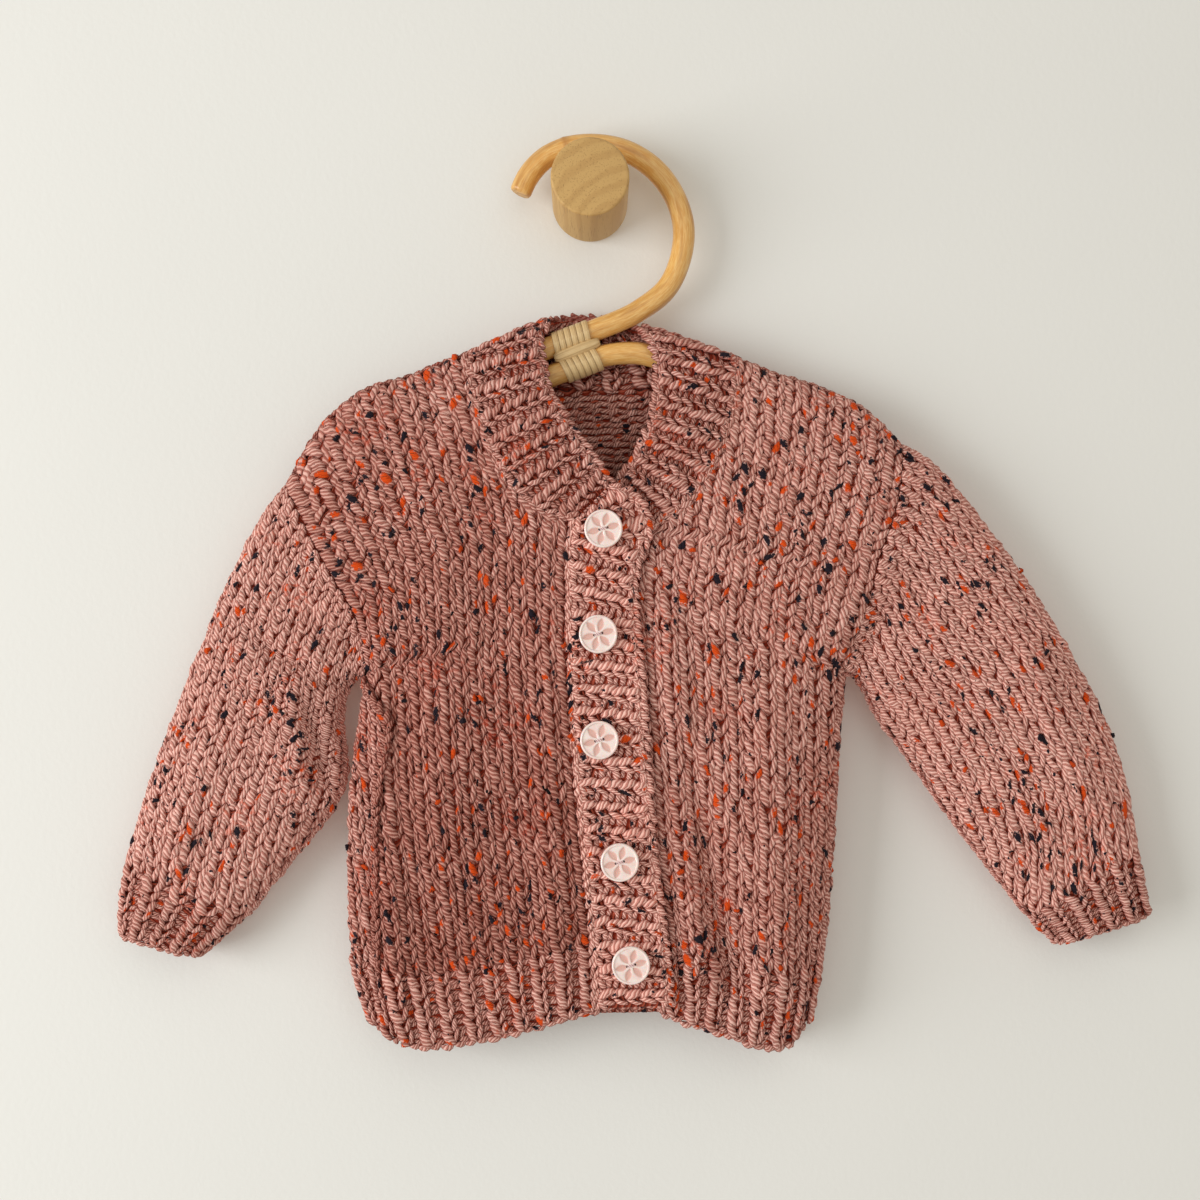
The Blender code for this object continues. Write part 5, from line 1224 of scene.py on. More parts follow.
@dataclass(frozen=True)
class TweedYarn:
    """Plied wool with orange and ink-black flecks, its colour holding painted highlights and painted shade.
    """

    name: str = "Dusty pink tweed yarn"
    base: Colour = srgb(221, 157, 141)
    # painted highlight on the crest of each ply, and paler fibres at random
    light: Colour = srgb(242, 194, 180)
    # painted shade: dark red drawn into the creases between plies and at a strand's sides and ends
    painted_crease_shade: Colour = srgb(146, 32, 10)
    ember: Colour = srgb(222, 78, 22)
    ink: Colour = srgb(34, 27, 36)
    plies: float = 4.4
    turns: float = 3.7
    relief: float = 0.0004
    strand_length: float = 0.0084
    strand_girth: float = 0.0090

    def flecks(self, graph: Graph, along: Value, around: Value, fibre: Value) -> tuple[Value, Value]:
        """How much of a fleck shows at a place of a strand, and its colour."""
        _, kind, where = graph.split(graph.attribute("Yarn", "Vector"))
        reach = (along - where) * (0.62 * self.strand_length)
        side = (around - graph.math("FRACT", kind)) * self.strand_girth
        apart = (reach * reach + side * side) ** 0.5
        near = graph.attribute("Yarn", "Alpha") - apart + fibre.scaled(0.0036, -0.0018)
        return near.spread(-0.0003, 0.0002) * (kind > 0.5), graph.mix(kind > 2.5, self.ember, self.ink)

    def material(self) -> bpy.types.Material:
        """The yarn's material, which reads the Strand map and the Yarn attribute."""
        graph = Graph(self.name, 0.85)
        along, around = graph.uv("Strand")
        place = graph.object_place()
        fibre = graph.noise(place, 900.0, 3.0, 0.6)
        bent = graph.noise(place, 260.0, 1.0)
        patchy = graph.noise(place, 30.0, 2.0)
        tint = graph.split(graph.attribute("Yarn", "Vector"))[0]
        phase = around * self.plies + along * self.turns + fibre.scaled(0.2, bent * 1.1)
        wave = graph.math("SINE", tint.scaled(9.0, phase) * (2 * math.pi))
        ply = wave.spread(-0.95, 0.25)
        # Painted shade: darker towards the strand's sides and underside, and towards its ends where it dips
        # under the next stitch.
        painted_side_and_end_shade = graph.math("MAXIMUM", abs(around - 0.5).spread(0.10, 0.27), abs(along - 0.5).spread(0.33, 0.5))
        # Painted highlight: the crest of each ply is drawn lighter.
        colour = graph.mix(wave.spread(0.0, 0.9), self.base, self.light)
        colour = graph.mix(fibre.spread(0.3, 0.75, 0.0, 0.35), colour, self.light)
        colour = graph.mix(patchy.spread(0.35, 0.7, 0.0, 0.3), colour, self.base)
        # Painted shade: the creases between the plies are drawn darker and redder.
        colour = graph.mix(ply.scaled(-0.46, 0.46), colour, self.painted_crease_shade)
        colour = graph.mix(painted_side_and_end_shade * 0.46, colour, self.painted_crease_shade)
        streak = graph.noise(place, 42.0, 2.0).spread(0.55, 0.68)
        streak = streak * graph.noise(place, 420.0, 1.0).spread(0.52, 0.64, 0.0, 0.5)
        colour = graph.mix(streak, colour, self.ember)
        colour = graph.mix(graph.noise(place, 330.0, 1.0).spread(0.725, 0.755), colour, self.ink)
        # Painted shade: a tint under 1 darkens the colour and deepens it towards red, as the yarn looks in
        # shade; a tint over 1 only lightens it, as painted light. The tint also holds a random spread of
        # tone.
        depth = graph.math("MAXIMUM", tint.scaled(-1.3, 2.3), 1.0)
        deep = graph.node("Gamma", {"Color": colour, "Gamma": depth})
        toned_and_shaded = graph.node("VectorMath", {0: deep, "Scale": tint}, operation="SCALE")
        shown, fleck = self.flecks(graph, along, around, fibre)
        graph.paint(graph.mix(shown, toned_and_shaded, fleck))
        graph.bump(ply + fibre * 0.45, self.relief)
        graph.sheen(0.06, 0.5, (1.0, 0.72, 0.62))
        graph.fix(Specular_IOR_Level=0.1)
        return graph.material


@dataclass(frozen=True)
class PlainKnit:
    """The cloth between and behind the stitches: the same yarn, drawn darker and redder as painted shade
    between the stitches, with purl bumps.
    """

    name: str = "Dusty pink knit in painted shade, inner side"
    # The shell's darker, redder colours are painted shade for the gaps between the stitches; deep is painted
    # shade in the troughs between purl bumps.
    base: Colour = srgb(184, 86, 64)
    deep: Colour = srgb(134, 40, 20)
    ember: Colour = srgb(190, 60, 20)
    relief: float = 0.0012

    def material(self) -> bpy.types.Material:
        """The shell's material, which reads the Knit map: columns and rows."""
        graph = Graph(self.name, 0.9)
        column_at, row_at = graph.uv("Knit")
        fibre = graph.noise(graph.object_place(), 700.0, 3.0, 0.6)
        sway = graph.math("SINE", column_at * (2 * math.pi)) * 0.13
        bump = graph.math("SINE", (row_at + sway) * (4 * math.pi)).spread(-0.8, 0.9)
        # Painted shade: the troughs between the purl bumps are drawn darker.
        colour = graph.mix(bump, self.deep, self.base)
        graph.paint(graph.mix(fibre.spread(0.62, 0.72, 0.0, 0.25), colour, self.ember))
        graph.bump(bump + fibre * 0.3, self.relief)
        graph.sheen(0.06, 0.6, (1.0, 0.72, 0.62))
        graph.fix(Specular_IOR_Level=0.1)
        return graph.material


# ---- knitted pieces ----
class Knit(Enum):
    """How a piece is knitted."""

    STOCKINETTE = "knit"
    RIB = "rib"


class Trim(Enum):
    """Edge stitches of a piece."""

    PLAIN = "none"
    LOOPS = "cast-on loops at its free edge"
    CHAINS = "chains along both of its long edges"
    SEAM = "a sewn seam's chain along its side"


@dataclass
class KnitPiece:
    """One knitted piece: a thin shell on the solid's form, with its stitches on it."""

    node: str
    patch: Patch
    knit: Knit
    flat: tuple[float, float]  # width and length of the cut
    area: float  # of the cut
    seed: int
    closed: bool = False
    spindle: tuple[int, int] = (6, 6)
    shell_outer: float = 0.0002
    shell_wall: float = 0.0017
    inner_from: float | None = None  # the inner side shows purl bumps from this row on
    trim: Trim = Trim.PLAIN
    seam_on_low: bool = False  # whether a side seam is where u is least
    to_shoulder: bool = False  # whether its last row is a shoulder seam
    # painted light and shade: how light the piece's yarn is drawn, darker where it lies in shade
    shade: float = 1.0
    painted_light_to_top: float = 0.0  # painted light: by how much its last row is drawn lighter than its first

    def shell(self, finish: bpy.types.Material) -> bpy.types.Object:
        """The plain cloth that carries the stitches, with its rims closed."""
        patch = self.patch
        finer = 1 if self.knit is Knit.STOCKINETTE else 3
        rise = patch.rows[-1] - patch.rows[0]
        width = patch.columns[-1] - patch.columns[0]
        shape, shares = flat_grid(max(8, int(width * finer)), max(4, int(rise)))
        v = patch.rows[0] + shares[:, 1] * rise
        top = np.interp(patch.across(shares[:, 0], v), patch.columns, patch.top)
        turn = patch.rows[-1] - EASED_ROWS
        v = np.where(v > turn, np.minimum(v, turn + (v - turn) / EASED_ROWS * (top - turn)), v)
        u = patch.across(shares[:, 0], v)
        shape_grid(shape, patch.place(u, v, np.full(len(u), self.shell_outer - self.shell_wall)),
                   np.stack([u, v], axis=1))
        if self.closed:
            bmesh.ops.remove_doubles(shape, verts=shape.verts, dist=0.0002)
        bmesh.ops.recalc_face_normals(shape, faces=shape.faces)
        middle = (len(patch.rows) // 2, len(patch.columns) // 2)
        centre, outward = Vector(patch.points[middle]), Vector(patch.normals[middle])
        nearest = min(shape.faces, key=lambda face: (face.calc_center_median() - centre).length)
        if nearest.normal.dot(outward) < 0:
            bmesh.ops.reverse_faces(shape, faces=shape.faces)
        bmesh.ops.solidify(shape, geom=shape.faces[:], thickness=-self.shell_wall)
        bmesh.ops.recalc_face_normals(shape, faces=shape.faces)
        mesh = mesh_of(f"{self.node}_cloth", shape)
        mesh.uv_layers[0].name = "Knit"
        mesh.shade_smooth()
        mesh.materials.append(finish)
        cloth = placed(mesh.name, mesh, self.knit.value)
        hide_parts(self.node)
        return cloth

    def stitches(self, finish: bpy.types.Material) -> bpy.types.Object:
        """The stitches of the piece's outer side, and of the inner side where it is seen."""
        strands = Strands(self.seed, *self.spindle)
        patch = self.patch
        if self.knit is Knit.STOCKINETTE:
            cells = patch.cells(0.5, keep=-0.15)
            # Painted light and shade: drawn darker at the first row and lighter towards the shoulders.
            shade = self.shade + self.painted_light_to_top * (cells[:, 1] - patch.rows[0]) / (patch.rows[-1] - patch.rows[0])
            strands.lay(patch, cells, FULL_LEG, shade)
            strands.lay(patch, cells, SLIM_LEG, shade)
            strands.tufts(patch, cells)
        else:
            self.rib_stitches(strands, patch)
        if self.inner_from is not None:
            inside = patch.inside()
            if self.knit is Knit.RIB:
                self.rib_stitches(strands, inside, 0.0, self.shell_wall - self.shell_outer)
            else:
                cells = inside.cells(0.5)
                middle = (inside.low[-1] + inside.high[-1]) / 2
                cells = cells[(cells[:, 1] > self.inner_from) & (np.abs(cells[:, 0] - middle) < INNER_REACH)]
                # The inner side's bumps are drawn darker: painted shade inside the garment.
                for up in (-0.25, 0.25):
                    strands.lay(inside, cells + (0.0, up), BUMP_TOP, 0.90)
                    strands.lay(inside, cells + (0.0, up), BUMP_LOW, 0.86)
        self.edge_stitches(strands)
        return strands.object(f"{self.node}_stitches", finish, self.knit.value)

    def rib_stitches(self, strands: Strands, patch: Patch, first: float = 0.5, lift: float = 0.0) -> None:
        """Ribs: a knit column on each crest and a purl column in each furrow."""
        knit = patch.cells(first, keep=0.2)
        purl = patch.cells(first + 0.5, keep=-0.03)
        # Purl columns lie in the furrows and are drawn darker by these amounts: painted shade.
        laid = ((knit, RIB_FULL, 0.0), (knit, RIB_SLIM, 0.0), (purl, PURL_TOP, 0.08), (purl, PURL_LOW, 0.12))
        for cells, leg, darker in laid:
            strands.lay(patch, cells, replace(leg, height=leg.height + lift), self.shade - darker)
        strands.tufts(patch, knit)

    def edge_stitches(self, strands: Strands) -> None:
        """Lays the piece's edge stitches."""
        patch = self.patch
        if self.trim is Trim.LOOPS:
            low, high = patch.limits(patch.rows[0])
            count = round((high - low) * patch.pitch / LOOP_SPACING)
            u = patch.across((np.arange(count) + 0.5) / count, patch.rows[0])
            strands.lay(patch, np.stack([u, np.full(count, patch.rows[0])], axis=1), LOOP_EDGE, self.shade)
        elif self.trim is Trim.CHAINS:
            for row, height in EDGE_CHAINS:
                self.chain(strands, patch.points[row], patch.normals[row], height)
        elif self.trim is Trim.SEAM:
            below = patch.rows < UNDERARM_ROW - 0.5
            u, height = patch.high[below] - SEAM_INSET, SLEEVE_SEAM_HEIGHT
            if self.seam_on_low:
                u, height = patch.low[below] + SEAM_INSET, FRONT_SEAM_HEIGHT
            self.seam(strands, u, patch.rows[below], height)
        if self.to_shoulder:
            u = np.linspace(patch.low[-1], patch.high[-1], 41)
            for height in SHOULDER_SEAM_HEIGHTS:
                self.seam(strands, u, np.full(len(u), SHOULDER_ROW), height)

    def seam(self, strands: Strands, u: Array, v: Array, height: float) -> None:
        """Lays a chain through columns and rows of the piece, at a height over it."""
        patch = self.patch
        self.chain(strands, patch.place(u, v, 0 * v), unit(patch.read(patch.normals, u, v)), height)

    def chain(self, strands: Strands, points: Array, normals: Array, height: float) -> None:
        """Lays a chain of linked stitches along a line of the cloth.

        Args:
            strands: takes up the strands.
            points: the line.
            normals: the way out of the cloth at each point.
            height: of the chain over the cloth.
        """
        lengths = lengths_along(points)
        count = max(3, int(lengths[-1] / CHAIN_STEP))
        at = np.linspace(0, lengths[-1], count)
        line, up = on_polyline(points, at, lengths), unit(on_polyline(normals, at, lengths))
        right = unit(np.cross(unit(np.gradient(line, axis=0)), up))
        columns = np.array([-1.0, 0.0, 1.0])
        ribbon = Patch(line[:, None, :] + columns[None, :, None] * Patch.pitch * right[:, None, :], columns,
                       at / Patch.rise, -1.0, 1.0, math.inf)
        ribbon.normals = np.repeat(up[:, None, :], 3, axis=1)
        links = max(2, round(lengths[-1] / CHAIN_LINK))
        v = (np.arange(links) + 0.5) / links * ribbon.rows[-1]
        cells = np.stack([np.zeros(links), v], axis=1)
        for leg in (CHAIN_LEFT, CHAIN_RIGHT):
            strands.lay(ribbon, cells, replace(leg, height=leg.height + height), self.shade)

    def build(self, yarn: bpy.types.Material, plain: bpy.types.Material) -> list[bpy.types.Object]:
        """Makes the piece: its shell and its stitches.

        Args:
            yarn: the finish of the stitches.
            plain: the finish of the shell.

        Returns:
            The shell and the stitches.
        """
        cloth = self.shell(plain)
        stitches = self.stitches(yarn)
        return [cloth, stitches]


# ---- hard pieces ----
def swept(points: Array, sides: Array, ups: Array, widths: Array, depths: Array, around: int,
          closed: bool = False, square: float = 1.0) -> bmesh.types.BMesh:
    """A tube of oval section along a line.

    Args:
        points: the line.
        sides: direction of the section's width at each point.
        ups: direction of its depth at each point.
        widths: half width at each point.
        depths: half depth at each point.
        around: corners of the section.
        closed: whether the line closes on itself.
        square: 1 for a plain oval, and less for a flatter strip.

    Returns:
        The tube, with a map named Grain: metres along it, and turns round it.
    """
    steps = len(points) if closed else len(points) - 1
    shape, shares = flat_grid(around, steps)
    lengths = lengths_along(np.concatenate((points, points[:1])) if closed else points)
    place = np.rint(shares[:, 1] * steps).astype(int)
    turn = shares[:, 0] * 2 * math.pi
    at = place % len(points)
    wide, deep = (np.sign(wave) * np.abs(wave) ** square for wave in (np.cos(turn), np.sin(turn)))
    where = points[at] + sides[at] * (widths[at] * wide)[:, None] + ups[at] * (depths[at] * deep)[:, None]
    shape_grid(shape, where, np.stack([lengths[place], shares[:, 0]], axis=1))
    bmesh.ops.remove_doubles(shape, verts=shape.verts, dist=1e-6)
    if not closed:
        bmesh.ops.holes_fill(shape, edges=shape.edges, sides=around + 1)
    bmesh.ops.recalc_face_normals(shape, faces=shape.faces)
    return shape


def finished(name: str, shape: bmesh.types.BMesh, finish: bpy.types.Material, slot: str,
             sharp: float = math.radians(50)) -> bpy.types.Object:
    """A shaded object of a finished shape, on the part's body."""
    mesh = mesh_of(name, shape)
    if mesh.uv_layers:
        mesh.uv_layers[0].name = "Grain"
    mesh.shade_smooth()
    mesh.set_sharp_from_angle(angle=sharp)
    mesh.materials.append(finish)
    return placed(name, mesh, slot)


@dataclass(frozen=True)
class PearlFinish:
    """Pearly pink button, a little darker in the engraving."""

    base: Colour = srgb(255, 236, 228)
    cloud: Colour = srgb(250, 220, 210)
    petal: Colour = srgb(228, 172, 157)

    def material(self) -> bpy.types.Material:
        """The button's material, which reads the Engraving attribute."""
        graph = Graph("Pearly pink button", 0.28)
        place = graph.object_place()
        cloud = graph.noise(place, 260.0, 3.0)
        colour = graph.mix(cloud.spread(0.35, 0.7), self.base, self.cloud)
        graph.paint(graph.mix(graph.attribute("Engraving") * 0.85, colour, self.petal))
        graph.fix(Roughness=cloud.spread(0.3, 0.7, 0.22, 0.36), Coat_Weight=0.5, Coat_Roughness=0.12,
                  Subsurface_Weight=0.1, Subsurface_Scale=0.001)
        graph.bump(graph.noise(place, 1400.0, 2.0), 0.00002)
        return graph.material


@dataclass(frozen=True)
class SewingThread:
    """Twisted pale pink cotton."""

    colour: Colour = srgb(250, 228, 226)
    twist: Colour = srgb(222, 176, 172)
    turns: float = 5200.0

    def material(self) -> bpy.types.Material:
        """The thread's material, with its twist on Object coordinates."""
        graph = Graph("Pale pink sewing thread", 0.6)
        x, _, z = graph.split(graph.object_place())
        wave = graph.math("SINE", (x + z) * self.turns)
        graph.paint(graph.mix(wave.spread(-0.6, 0.6), self.twist, self.colour))
        graph.bump(wave, 0.00008)
        graph.sheen(0.1, 0.4, (1.0, 0.95, 0.95))
        return graph.material


@dataclass(frozen=True)
class CaneFinish:
    """Lacquered golden cane with fine grain along it and darker joints."""

    name: str = "Golden lacquered cane"
    base: Colour = srgb(232, 170, 86)
    dark: Colour = srgb(178, 112, 46)
    light: Colour = srgb(248, 202, 126)
    roughness: float = 0.34

    def material(self) -> bpy.types.Material:
        """The cane's material, which reads the Grain map and the Joint attribute."""
        graph = Graph(self.name, self.roughness)
        along, around = graph.uv("Grain")
        turn = around * (2 * math.pi)
        sine, cosine = graph.math("SINE", turn), graph.math("COSINE", turn)
        place = graph.node("CombineXYZ", {0: along * 22.0, 1: sine, 2: cosine})
        streak = graph.noise(place, 9.0, 3.0, 0.6)
        patchy = graph.noise(place, 1.6, 2.0)
        colour = graph.mix(streak.spread(0.35, 0.7), self.base, self.light)
        colour = graph.mix(patchy.spread(0.45, 0.75, 0.0, 0.6), colour, self.dark)
        graph.paint(graph.mix(graph.attribute("Joint") * 0.75, colour, self.dark))
        graph.fix(Coat_Weight=0.35, Coat_Roughness=0.2)
        graph.bump(streak, 0.0002)
        return graph.material


@dataclass(frozen=True)
class WoodFinish:
    """Pale turned wood, with rings on its end and grain along its side."""

    base: Colour = srgb(207, 165, 100)
    dark: Colour = srgb(183, 137, 76)
    heart: tuple[float, float] = (0.021, 0.034)  # x of the rings' middle, and its distance below the origin

    def material(self) -> bpy.types.Material:
        """The peg's material on Object coordinates."""
        graph = Graph("Pale turned wood", 0.55)
        place = graph.object_place((1.0, 0.12, 1.0))
        x, _, z = graph.split(place)
        out = ((x - self.heart[0]) ** 2.0 + (z + self.heart[1]) ** 2.0) ** 0.5
        ring = graph.math("SINE", out * 900.0 + graph.noise(place, 60.0, 3.0) * 9.0).spread(-0.4, 1.0)
        pores = graph.noise(graph.object_place((1.0, 0.05, 1.0)), 1800.0, 2.0).spread(0.58, 0.72)
        colour = graph.mix(ring * 0.4, self.base, self.dark)
        graph.paint(graph.mix(pores * 0.5, colour, self.dark))
        graph.bump(ring + pores, 0.00012)
        return graph.material


@dataclass(frozen=True)
class Button:
    """Round two-hole button engraved with a plain six-petal flower."""

    radius: float = 0.0085
    thickness: float = 0.0028
    rim: float = 0.0012
    dish: float = 0.00045
    hole_radius: float = 0.00065
    hole_offset: float = 0.0017
    turn: float = math.radians(15.0)
    petal_depth: float = 0.00036
    petal_from: float = 0.0013
    petal_to: float = 0.0073
    petal_half_width: float = 0.00175
    thread_radius: float = 0.00032
    steps: int = 96

    def petals(self, x: Array, z: Array) -> Array:
        """How deep in a petal each place of the face is, from 0 outside to 1 on its middle line."""
        total = np.zeros(np.shape(x))
        for number in range(6):
            angle = self.turn + number * math.pi / 3
            cosine, sine = math.cos(angle), math.sin(angle)
            along = (x * cosine + z * sine - self.petal_from) / (self.petal_to - self.petal_from)
            aside = np.abs(-x * sine + z * cosine) / self.petal_half_width
            inside = (along > 0) & (along < 1)
            reach = np.sin(math.pi * np.clip(along, 0, 1)) ** 0.8
            total = np.maximum(total, np.where(inside, np.clip(1 - aside / np.maximum(reach, 1e-6), 0, 1), 0))
        return total

    def profile(self) -> list[tuple[float, float]]:
        """Radius and depth of the turned outline, from the middle of the face to the middle of the back."""
        face = -self.thickness
        rings = [(r, face + self.dish) for r in np.linspace(0.0, self.radius - self.rim, 19)]
        edge = ((0.75 * self.rim, face + 0.1 * self.dish), (0.45 * self.rim, face),
                (0.15 * self.rim, face + 0.00025), (0.0, face + 0.0007), (0.0, -0.0008),
                (0.0005, -0.0001), (0.0009, 0.0))
        return rings + [(self.radius - inwards, depth) for inwards, depth in edge] + [(0.0, 0.0)]

    def build(self, name: str, node: str, place: Point,
              finish: bpy.types.Material) -> bpy.types.Object:
        """Turns the button, engraves it and drills it.

        Args:
            name: name of the piece.
            node: the solid that it stands for.
            place: the middle of its back.
            finish: its finish.

        Returns:
            The button.
        """
        shape = bmesh.new()
        outline = [shape.verts.new((radius, depth, 0.0)) for radius, depth in self.profile()]
        edges = [shape.edges.new(pair) for pair in zip(outline, outline[1:])]
        bmesh.ops.spin(shape, geom=outline + edges, cent=(0, 0, 0), axis=(0, 1, 0), angle=2 * math.pi,
                       steps=self.steps, use_merge=True)
        bmesh.ops.remove_doubles(shape, verts=shape.verts, dist=1e-6)
        corners = np.array([vert.co for vert in shape.verts])
        front = corners[:, 1] < -self.thickness + self.dish + 1e-5
        deep = np.where(front, self.petals(corners[:, 0], corners[:, 2]), 0.0)
        for vert, share in zip(shape.verts, deep):
            vert.co.y += self.petal_depth * min(1.0, 1.6 * share)
        bmesh.ops.recalc_face_normals(shape, faces=shape.faces)
        mesh = mesh_of(name, shape)
        mark_corners(mesh, "Engraving", np.clip(3.0 * deep, 0, 1))
        blank = in_scene(f"{name} blank", mesh)
        drills = [self.drill(side) for side in (-1, 1)]
        for drill in drills:
            cut = blank.modifiers.new("Hole", "BOOLEAN")
            cut.operation = "DIFFERENCE"
            cut.solver = "EXACT"
            cut.object = drill
        graph = bpy.context.evaluated_depsgraph_get()
        cut_mesh = bpy.data.meshes.new_from_object(blank.evaluated_get(graph))
        for used in (blank, *drills):
            bpy.data.objects.remove(used)
        cut_mesh.name = name
        cut_mesh.transform(Matrix.Translation(place))
        cut_mesh.shade_smooth()
        cut_mesh.set_sharp_from_angle(angle=math.radians(32))
        cut_mesh.materials.clear()
        cut_mesh.materials.append(finish)
        button = placed(name, cut_mesh, "button")
        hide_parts(node)
        return button

    def thread(self, name: str, place: Point, finish: bpy.types.Material) -> bpy.types.Object:
        """The two stitches from hole to hole of a button whose back's middle is at the place."""
        shape = bmesh.new()
        lie = Matrix.Translation(place) @ Matrix.Rotation(-self.turn, 4, "Y")
        reach = self.hole_offset + 0.4 * self.hole_radius
        for aside in (-self.thread_radius, self.thread_radius):
            at = Matrix.Translation((0.0, self.dish - self.thickness, aside))
            size = Matrix.Diagonal((reach, 1.5 * self.thread_radius, self.thread_radius, 1.0))
            bmesh.ops.create_uvsphere(shape, u_segments=12, v_segments=8, radius=1.0, matrix=lie @ at @ size)
        return finished(name, shape, finish, "button")

    def drill(self, side: int) -> bpy.types.Object:
        """Cutter of one thread hole."""
        shape = bmesh.new()
        turn = Matrix.Rotation(-math.pi / 2, 4, "X")
        place = Matrix.Translation((side * self.hole_offset * math.cos(self.turn), -self.thickness / 2,
                                    side * self.hole_offset * math.sin(self.turn)))
        bmesh.ops.create_cone(shape, cap_ends=True, segments=20, radius1=self.hole_radius,
                              radius2=self.hole_radius, depth=4 * self.thickness, matrix=place @ turn)
        return in_scene("Drill", mesh_of("Drill", shape))


@dataclass(frozen=True)
class Hanger:
    """Bent cane hook and shoulder bow, bound together with split cane."""

    radius: float = 0.005
    depth: float = 0.013
    wraps: int = 6
    binding_length: float = 0.0175
    strip_half: float = 0.00140
    strip_wall: float = 0.00038
    end_ease: float = 0.0018  # a cane's ends are rounded over this length
    joint_half: float = 0.0011
    joint_swell: float = 0.00035
    step: float = 0.0016

    def binding_place(self, along: Array, aside: Array) -> tuple[Array, Array]:
        """(x, z) of a place in the binding: along the canes, and aside towards the upper one."""
        x, z = BINDING_CENTRE
        cosine, sine = math.cos(BINDING_SLOPE), math.sin(BINDING_SLOPE)
        return x + along * cosine - aside * sine, z + along * sine + aside * cosine

    def shoulder_seat(self, cloth: Cloth, across: float) -> tuple[float, float]:
        """(x, z) of the bow's centre line where it runs close under the shoulder fold."""
        x, _, z = cloth.point((across + 1) / 2, SHOULDER_ROW)
        ahead = cloth.point((across + 1) / 2 + 0.01, SHOULDER_ROW)
        along = unit(np.array((ahead[0] - x, ahead[2] - z)))
        down = 0.0015 + BOW_CLEARANCE + self.radius
        return x + along[1] * down, z - along[0] * down

    def cane(self, name: str, node: str, route: Sequence[tuple[float, float]], joints: Sequence[float],
             finish: bpy.types.Material) -> bpy.types.Object:
        """One bent cane along a smooth route, thicker at its joints and rounded at its ends.

        Args:
            name: name of the piece.
            node: the solid that it stands for.
            route: centre line as (x, z).
            joints: distance of each joint from the start.
            finish: its finish.

        Returns:
            The cane.
        """
        route = np.asarray(route, float)
        marks = np.concatenate(([0.0], np.cumsum(np.hypot(*np.diff(route, axis=0).T))))
        at = np.linspace(0, marks[-1], int(marks[-1] / self.step) + 1)
        ends = np.array([0.0, 0.0003, 0.0009, self.end_ease])
        at = np.unique(np.concatenate((at[1:-1], ends, marks[-1] - ends)))
        flat = through(at, marks, route)
        points = np.stack([flat[:, 0], np.full(len(at), -self.depth), flat[:, 1]], axis=1)
        along = unit(np.gradient(points, axis=0))
        across = np.tile((0.0, -1.0, 0.0), (len(at), 1))
        side = unit(np.cross(across, along))
        joint = sum(np.exp(-(((at - place) / self.joint_half) ** 2)) for place in joints)
        near_end = np.minimum(at, marks[-1] - at)
        easing = np.sqrt(np.clip(1 - (1 - np.clip(near_end / self.end_ease, 0, 1)) ** 2, 0, 1))
        wobble = 1 + 0.012 * np.sin(at * 190.0)
        radii = self.radius * (0.80 + 0.20 * easing) * wobble + self.joint_swell * joint
        shape = swept(points, side, across, radii, radii, 28)
        corners = np.array([vert.co for vert in shape.verts])
        nearest = np.array([np.argmin(np.linalg.norm(points - corner, axis=1)) for corner in corners])
        piece = finished(name, shape, finish, "cane", math.radians(60))
        mark_corners(piece.data, "Joint", np.clip(joint, 0, 1)[nearest])
        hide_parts(node)
        return piece

    def strips(self, finish: bpy.types.Material) -> bpy.types.Object:
        """The split-cane wraps round both canes, with the strap that ties them between."""
        whole = bmesh.new()
        turn = np.linspace(0, 2 * math.pi, 41)[:-1]
        slope = np.array((math.cos(BINDING_SLOPE), 0.0, math.sin(BINDING_SLOPE)))
        rise = np.array((-math.sin(BINDING_SLOPE), 0.0, math.cos(BINDING_SLOPE)))
        out = np.array((0.0, -1.0, 0.0))
        parts = []
        for aside, lean in ((CANE_SPACING / 2, 0.14), (-CANE_SPACING / 2, -0.12)):
            for number in range(self.wraps):
                along = (number - (self.wraps - 1) / 2) * self.binding_length / self.wraps
                x, z = self.binding_place(along, aside)
                centre = np.array((x, -self.depth, z))
                radius = self.radius + self.strip_wall + 0.0002
                around = np.cos(turn)[:, None] * out + np.sin(turn)[:, None] * rise
                points = centre + around * radius + slope * (lean * radius * np.sin(turn))[:, None]
                sides = np.tile(slope, (len(turn), 1))
                parts.append(swept(points, sides, around, np.full(len(turn), self.strip_half),
                                   np.full(len(turn), self.strip_wall), 12, closed=True, square=0.45))
        for share, wide in ((-0.9, 0.0016), (0.0, 0.0019), (0.9, 0.0013)):
            at = np.linspace(-0.0105, 0.0115, 24)
            x, z = self.binding_place(at, 0.0011 * share + 0 * at)
            bulge = np.sqrt(np.clip(1 - (at / 0.0125) ** 2, 0, 1))
            points = np.stack([x, -self.depth - 0.0030 - 0.0021 * bulge + 0.0006 * abs(share), z], axis=1)
            taper = np.sqrt(np.clip(1 - np.abs((at - 0.0005) / 0.0112) ** 6, 0.02, 1))
            parts.append(swept(points, np.tile(rise, (len(at), 1)), np.tile(out, (len(at), 1)), wide * taper,
                               0.0007 * taper, 12))
        for part in parts:
            held = mesh_of("Part", part)
            whole.from_mesh(held)
            bpy.data.meshes.remove(held)
        piece = finished("hanger_binding_strips", whole, finish, "split_cane", math.radians(60))
        mark_corners(piece.data, "Joint", np.zeros(len(piece.data.vertices)))
        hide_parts("hanger_binding")
        return piece

